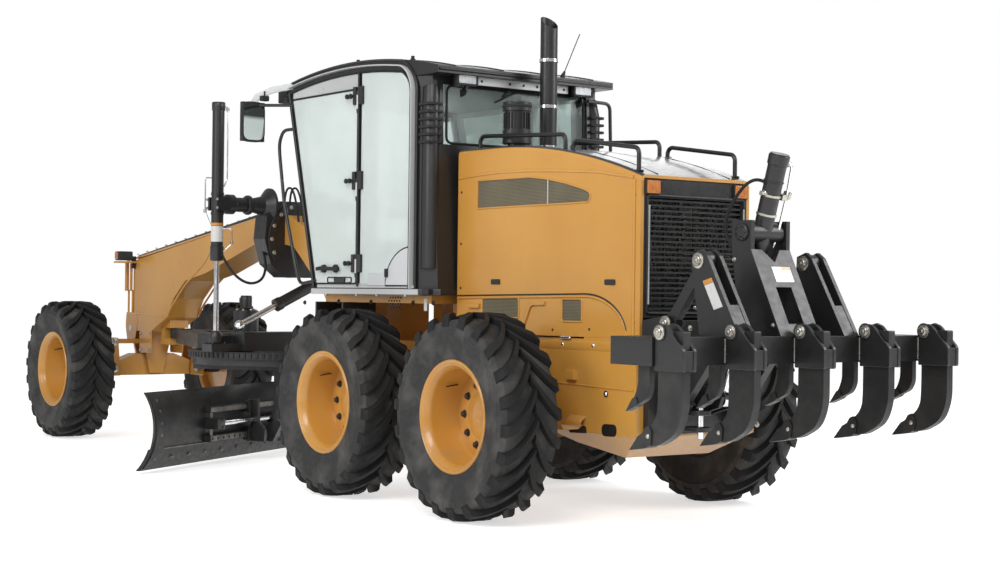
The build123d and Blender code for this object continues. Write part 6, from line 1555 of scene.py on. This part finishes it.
# drawbar: the circle drive with its motor and bolts, the lift balls' seats; the centre-shift cylinder's rings
drive_y = CIRCLE[1] - 0.600
drive = lathe(((1.228, 0), (1.228, 0.100), (1.240, 0.096), (1.260, 0.060), (1.262, 0)), 36)
piece("circle_drive_cap", copies(drive, [at(0, drive_y, 0) @ UPWARD]), paint_black, "drawbar")
drive_bolts = [(0.085 * math.cos(a), drive_y + 0.085 * math.sin(a), 1.240)
               for a in np.arange(8) * math.pi / 4]
piece("circle_drive_bolts", bolts(drive_bolts, (0, 0, 1), 0.010), zinc, "drawbar")
motor = joined(copies(lathe(((1.24, 0), (1.24, 0.052), (1.36, 0.052), (1.372, 0.045), (1.372, 0)), 32),
                      [at(0, drive_y, 0) @ UPWARD]),
               block((-0.03, drive_y - 0.075, 1.29), (0.03, drive_y - 0.02, 1.35), 0.006))
piece("circle_drive_motor", motor, steel_dark, "drawbar")
for name, side in SIDES:
    cap_shape = joined(block((side * (LIFT_X - 0.072), SADDLE_Y - 0.080, 0.965),
                             (side * (LIFT_X + 0.072), SADDLE_Y + 0.080, 0.976), 0.010),
                       bolts([(side * (LIFT_X + x), SADDLE_Y + y, 0.976) for x in (-0.055, 0.055)
                              for y in (-0.060, 0.060)], (0, 0, 1), 0.011))
    piece(f"lift_ball_seat_{name}", cap_shape, paint_black, "drawbar")
centre_axis = unit(np.array((0.600 + 0.360, 0, 1.130 - 1.600)))
centre_place = Matrix.Translation((-0.360, SADDLE_Y + 0.150, 1.600)) @ facing(centre_axis)
centre_rings = joined(lathe_closed(((0.640, 0.026), (0.640, 0.052), (0.650, 0.055), (0.700, 0.055),
                                    (0.704, 0.046), (0.704, 0.026)), 36),
                      collar(0.090, 0.120, 0.046, 0.053, 36))
piece("centre_cylinder_rings", copies(centre_rings, [centre_place]), paint_black, "centre_barrel")

# ------------------------------------------------------------------ floor and light
FLOOR_HALF = 40
FLOOR_GLOW = 0.62        # where the camera, a reflection or a pane sees the floor, so that it looks white
SKY_LIGHT, SKY_SEEN = 0.46, 1.0
floor_mesh = bpy.data.meshes.new("floor")
floor_mesh.from_pydata([(-FLOOR_HALF, -FLOOR_HALF, 0), (FLOOR_HALF, -FLOOR_HALF, 0),
                        (FLOOR_HALF, FLOOR_HALF, 0), (-FLOOR_HALF, FLOOR_HALF, 0)], [], [(0, 1, 2, 3)])
floor = bpy.data.objects.new("floor", floor_mesh)
bpy.context.scene.collection.objects.link(floor)
floor_finish = Finish("floor_white")
floor_finish.set(base_color=(0.86, 0.86, 0.86), roughness=0.9, specular_ior_level=0.0)
rays = floor_finish.node("ShaderNodeLightPath")
seen = floor_finish.sum("MAXIMUM", rays.outputs["Is Camera Ray"], rays.outputs["Is Glossy Ray"])
seen = floor_finish.sum("MAXIMUM", seen, rays.outputs["Is Transmission Ray"])
glow = floor_finish.sum("MULTIPLY", seen, FLOOR_GLOW)
floor_finish.set(emission_color=(1.0, 1.0, 1.0), emission_strength=glow)
floor.data.materials.append(floor_finish.material)

world = bpy.data.worlds.new("studio")
bpy.context.scene.world = world
world.use_nodes = True
sky = world.node_tree.nodes["Background"]
sky.inputs["Color"].default_value = (1, 1, 1, 1)
path = world.node_tree.nodes.new("ShaderNodeLightPath")
seen_sky = world.node_tree.nodes.new("ShaderNodeMath")
seen_sky.operation = "MAXIMUM"
world.node_tree.links.new(path.outputs["Is Camera Ray"], seen_sky.inputs[0])
world.node_tree.links.new(path.outputs["Is Transmission Ray"], seen_sky.inputs[1])
strength = world.node_tree.nodes.new("ShaderNodeMapRange")
strength.inputs["To Min"].default_value = SKY_LIGHT
strength.inputs["To Max"].default_value = SKY_SEEN
world.node_tree.links.new(seen_sky.outputs[0], strength.inputs["Value"])
world.node_tree.links.new(strength.outputs[0], sky.inputs["Strength"])

for name, place, aim, size, power in (("key_light", (9, 9, 10), (0, 1, 1), 7, 850),
                                      ("side_light", (13, 1, 6), (0, 0, 1.5), 6, 460),
                                      ("rear_light", (-7, 9.5, 6.5), (0, 4, 1.5), 6, 620),
                                      ("front_light", (-11, -8, 7), (0, 1, 1.5), 8, 290)):
    lamp_data = bpy.data.lights.new(name, "AREA")
    lamp_data.shape = "DISK"
    lamp_data.size = size
    lamp_data.energy = power
    lamp = bpy.data.objects.new(name, lamp_data)
    bpy.context.scene.collection.objects.link(lamp)
    lamp.location = place
    lamp.rotation_euler = (Vector(aim) - Vector(place)).to_track_quat("-Z", "Y").to_euler()
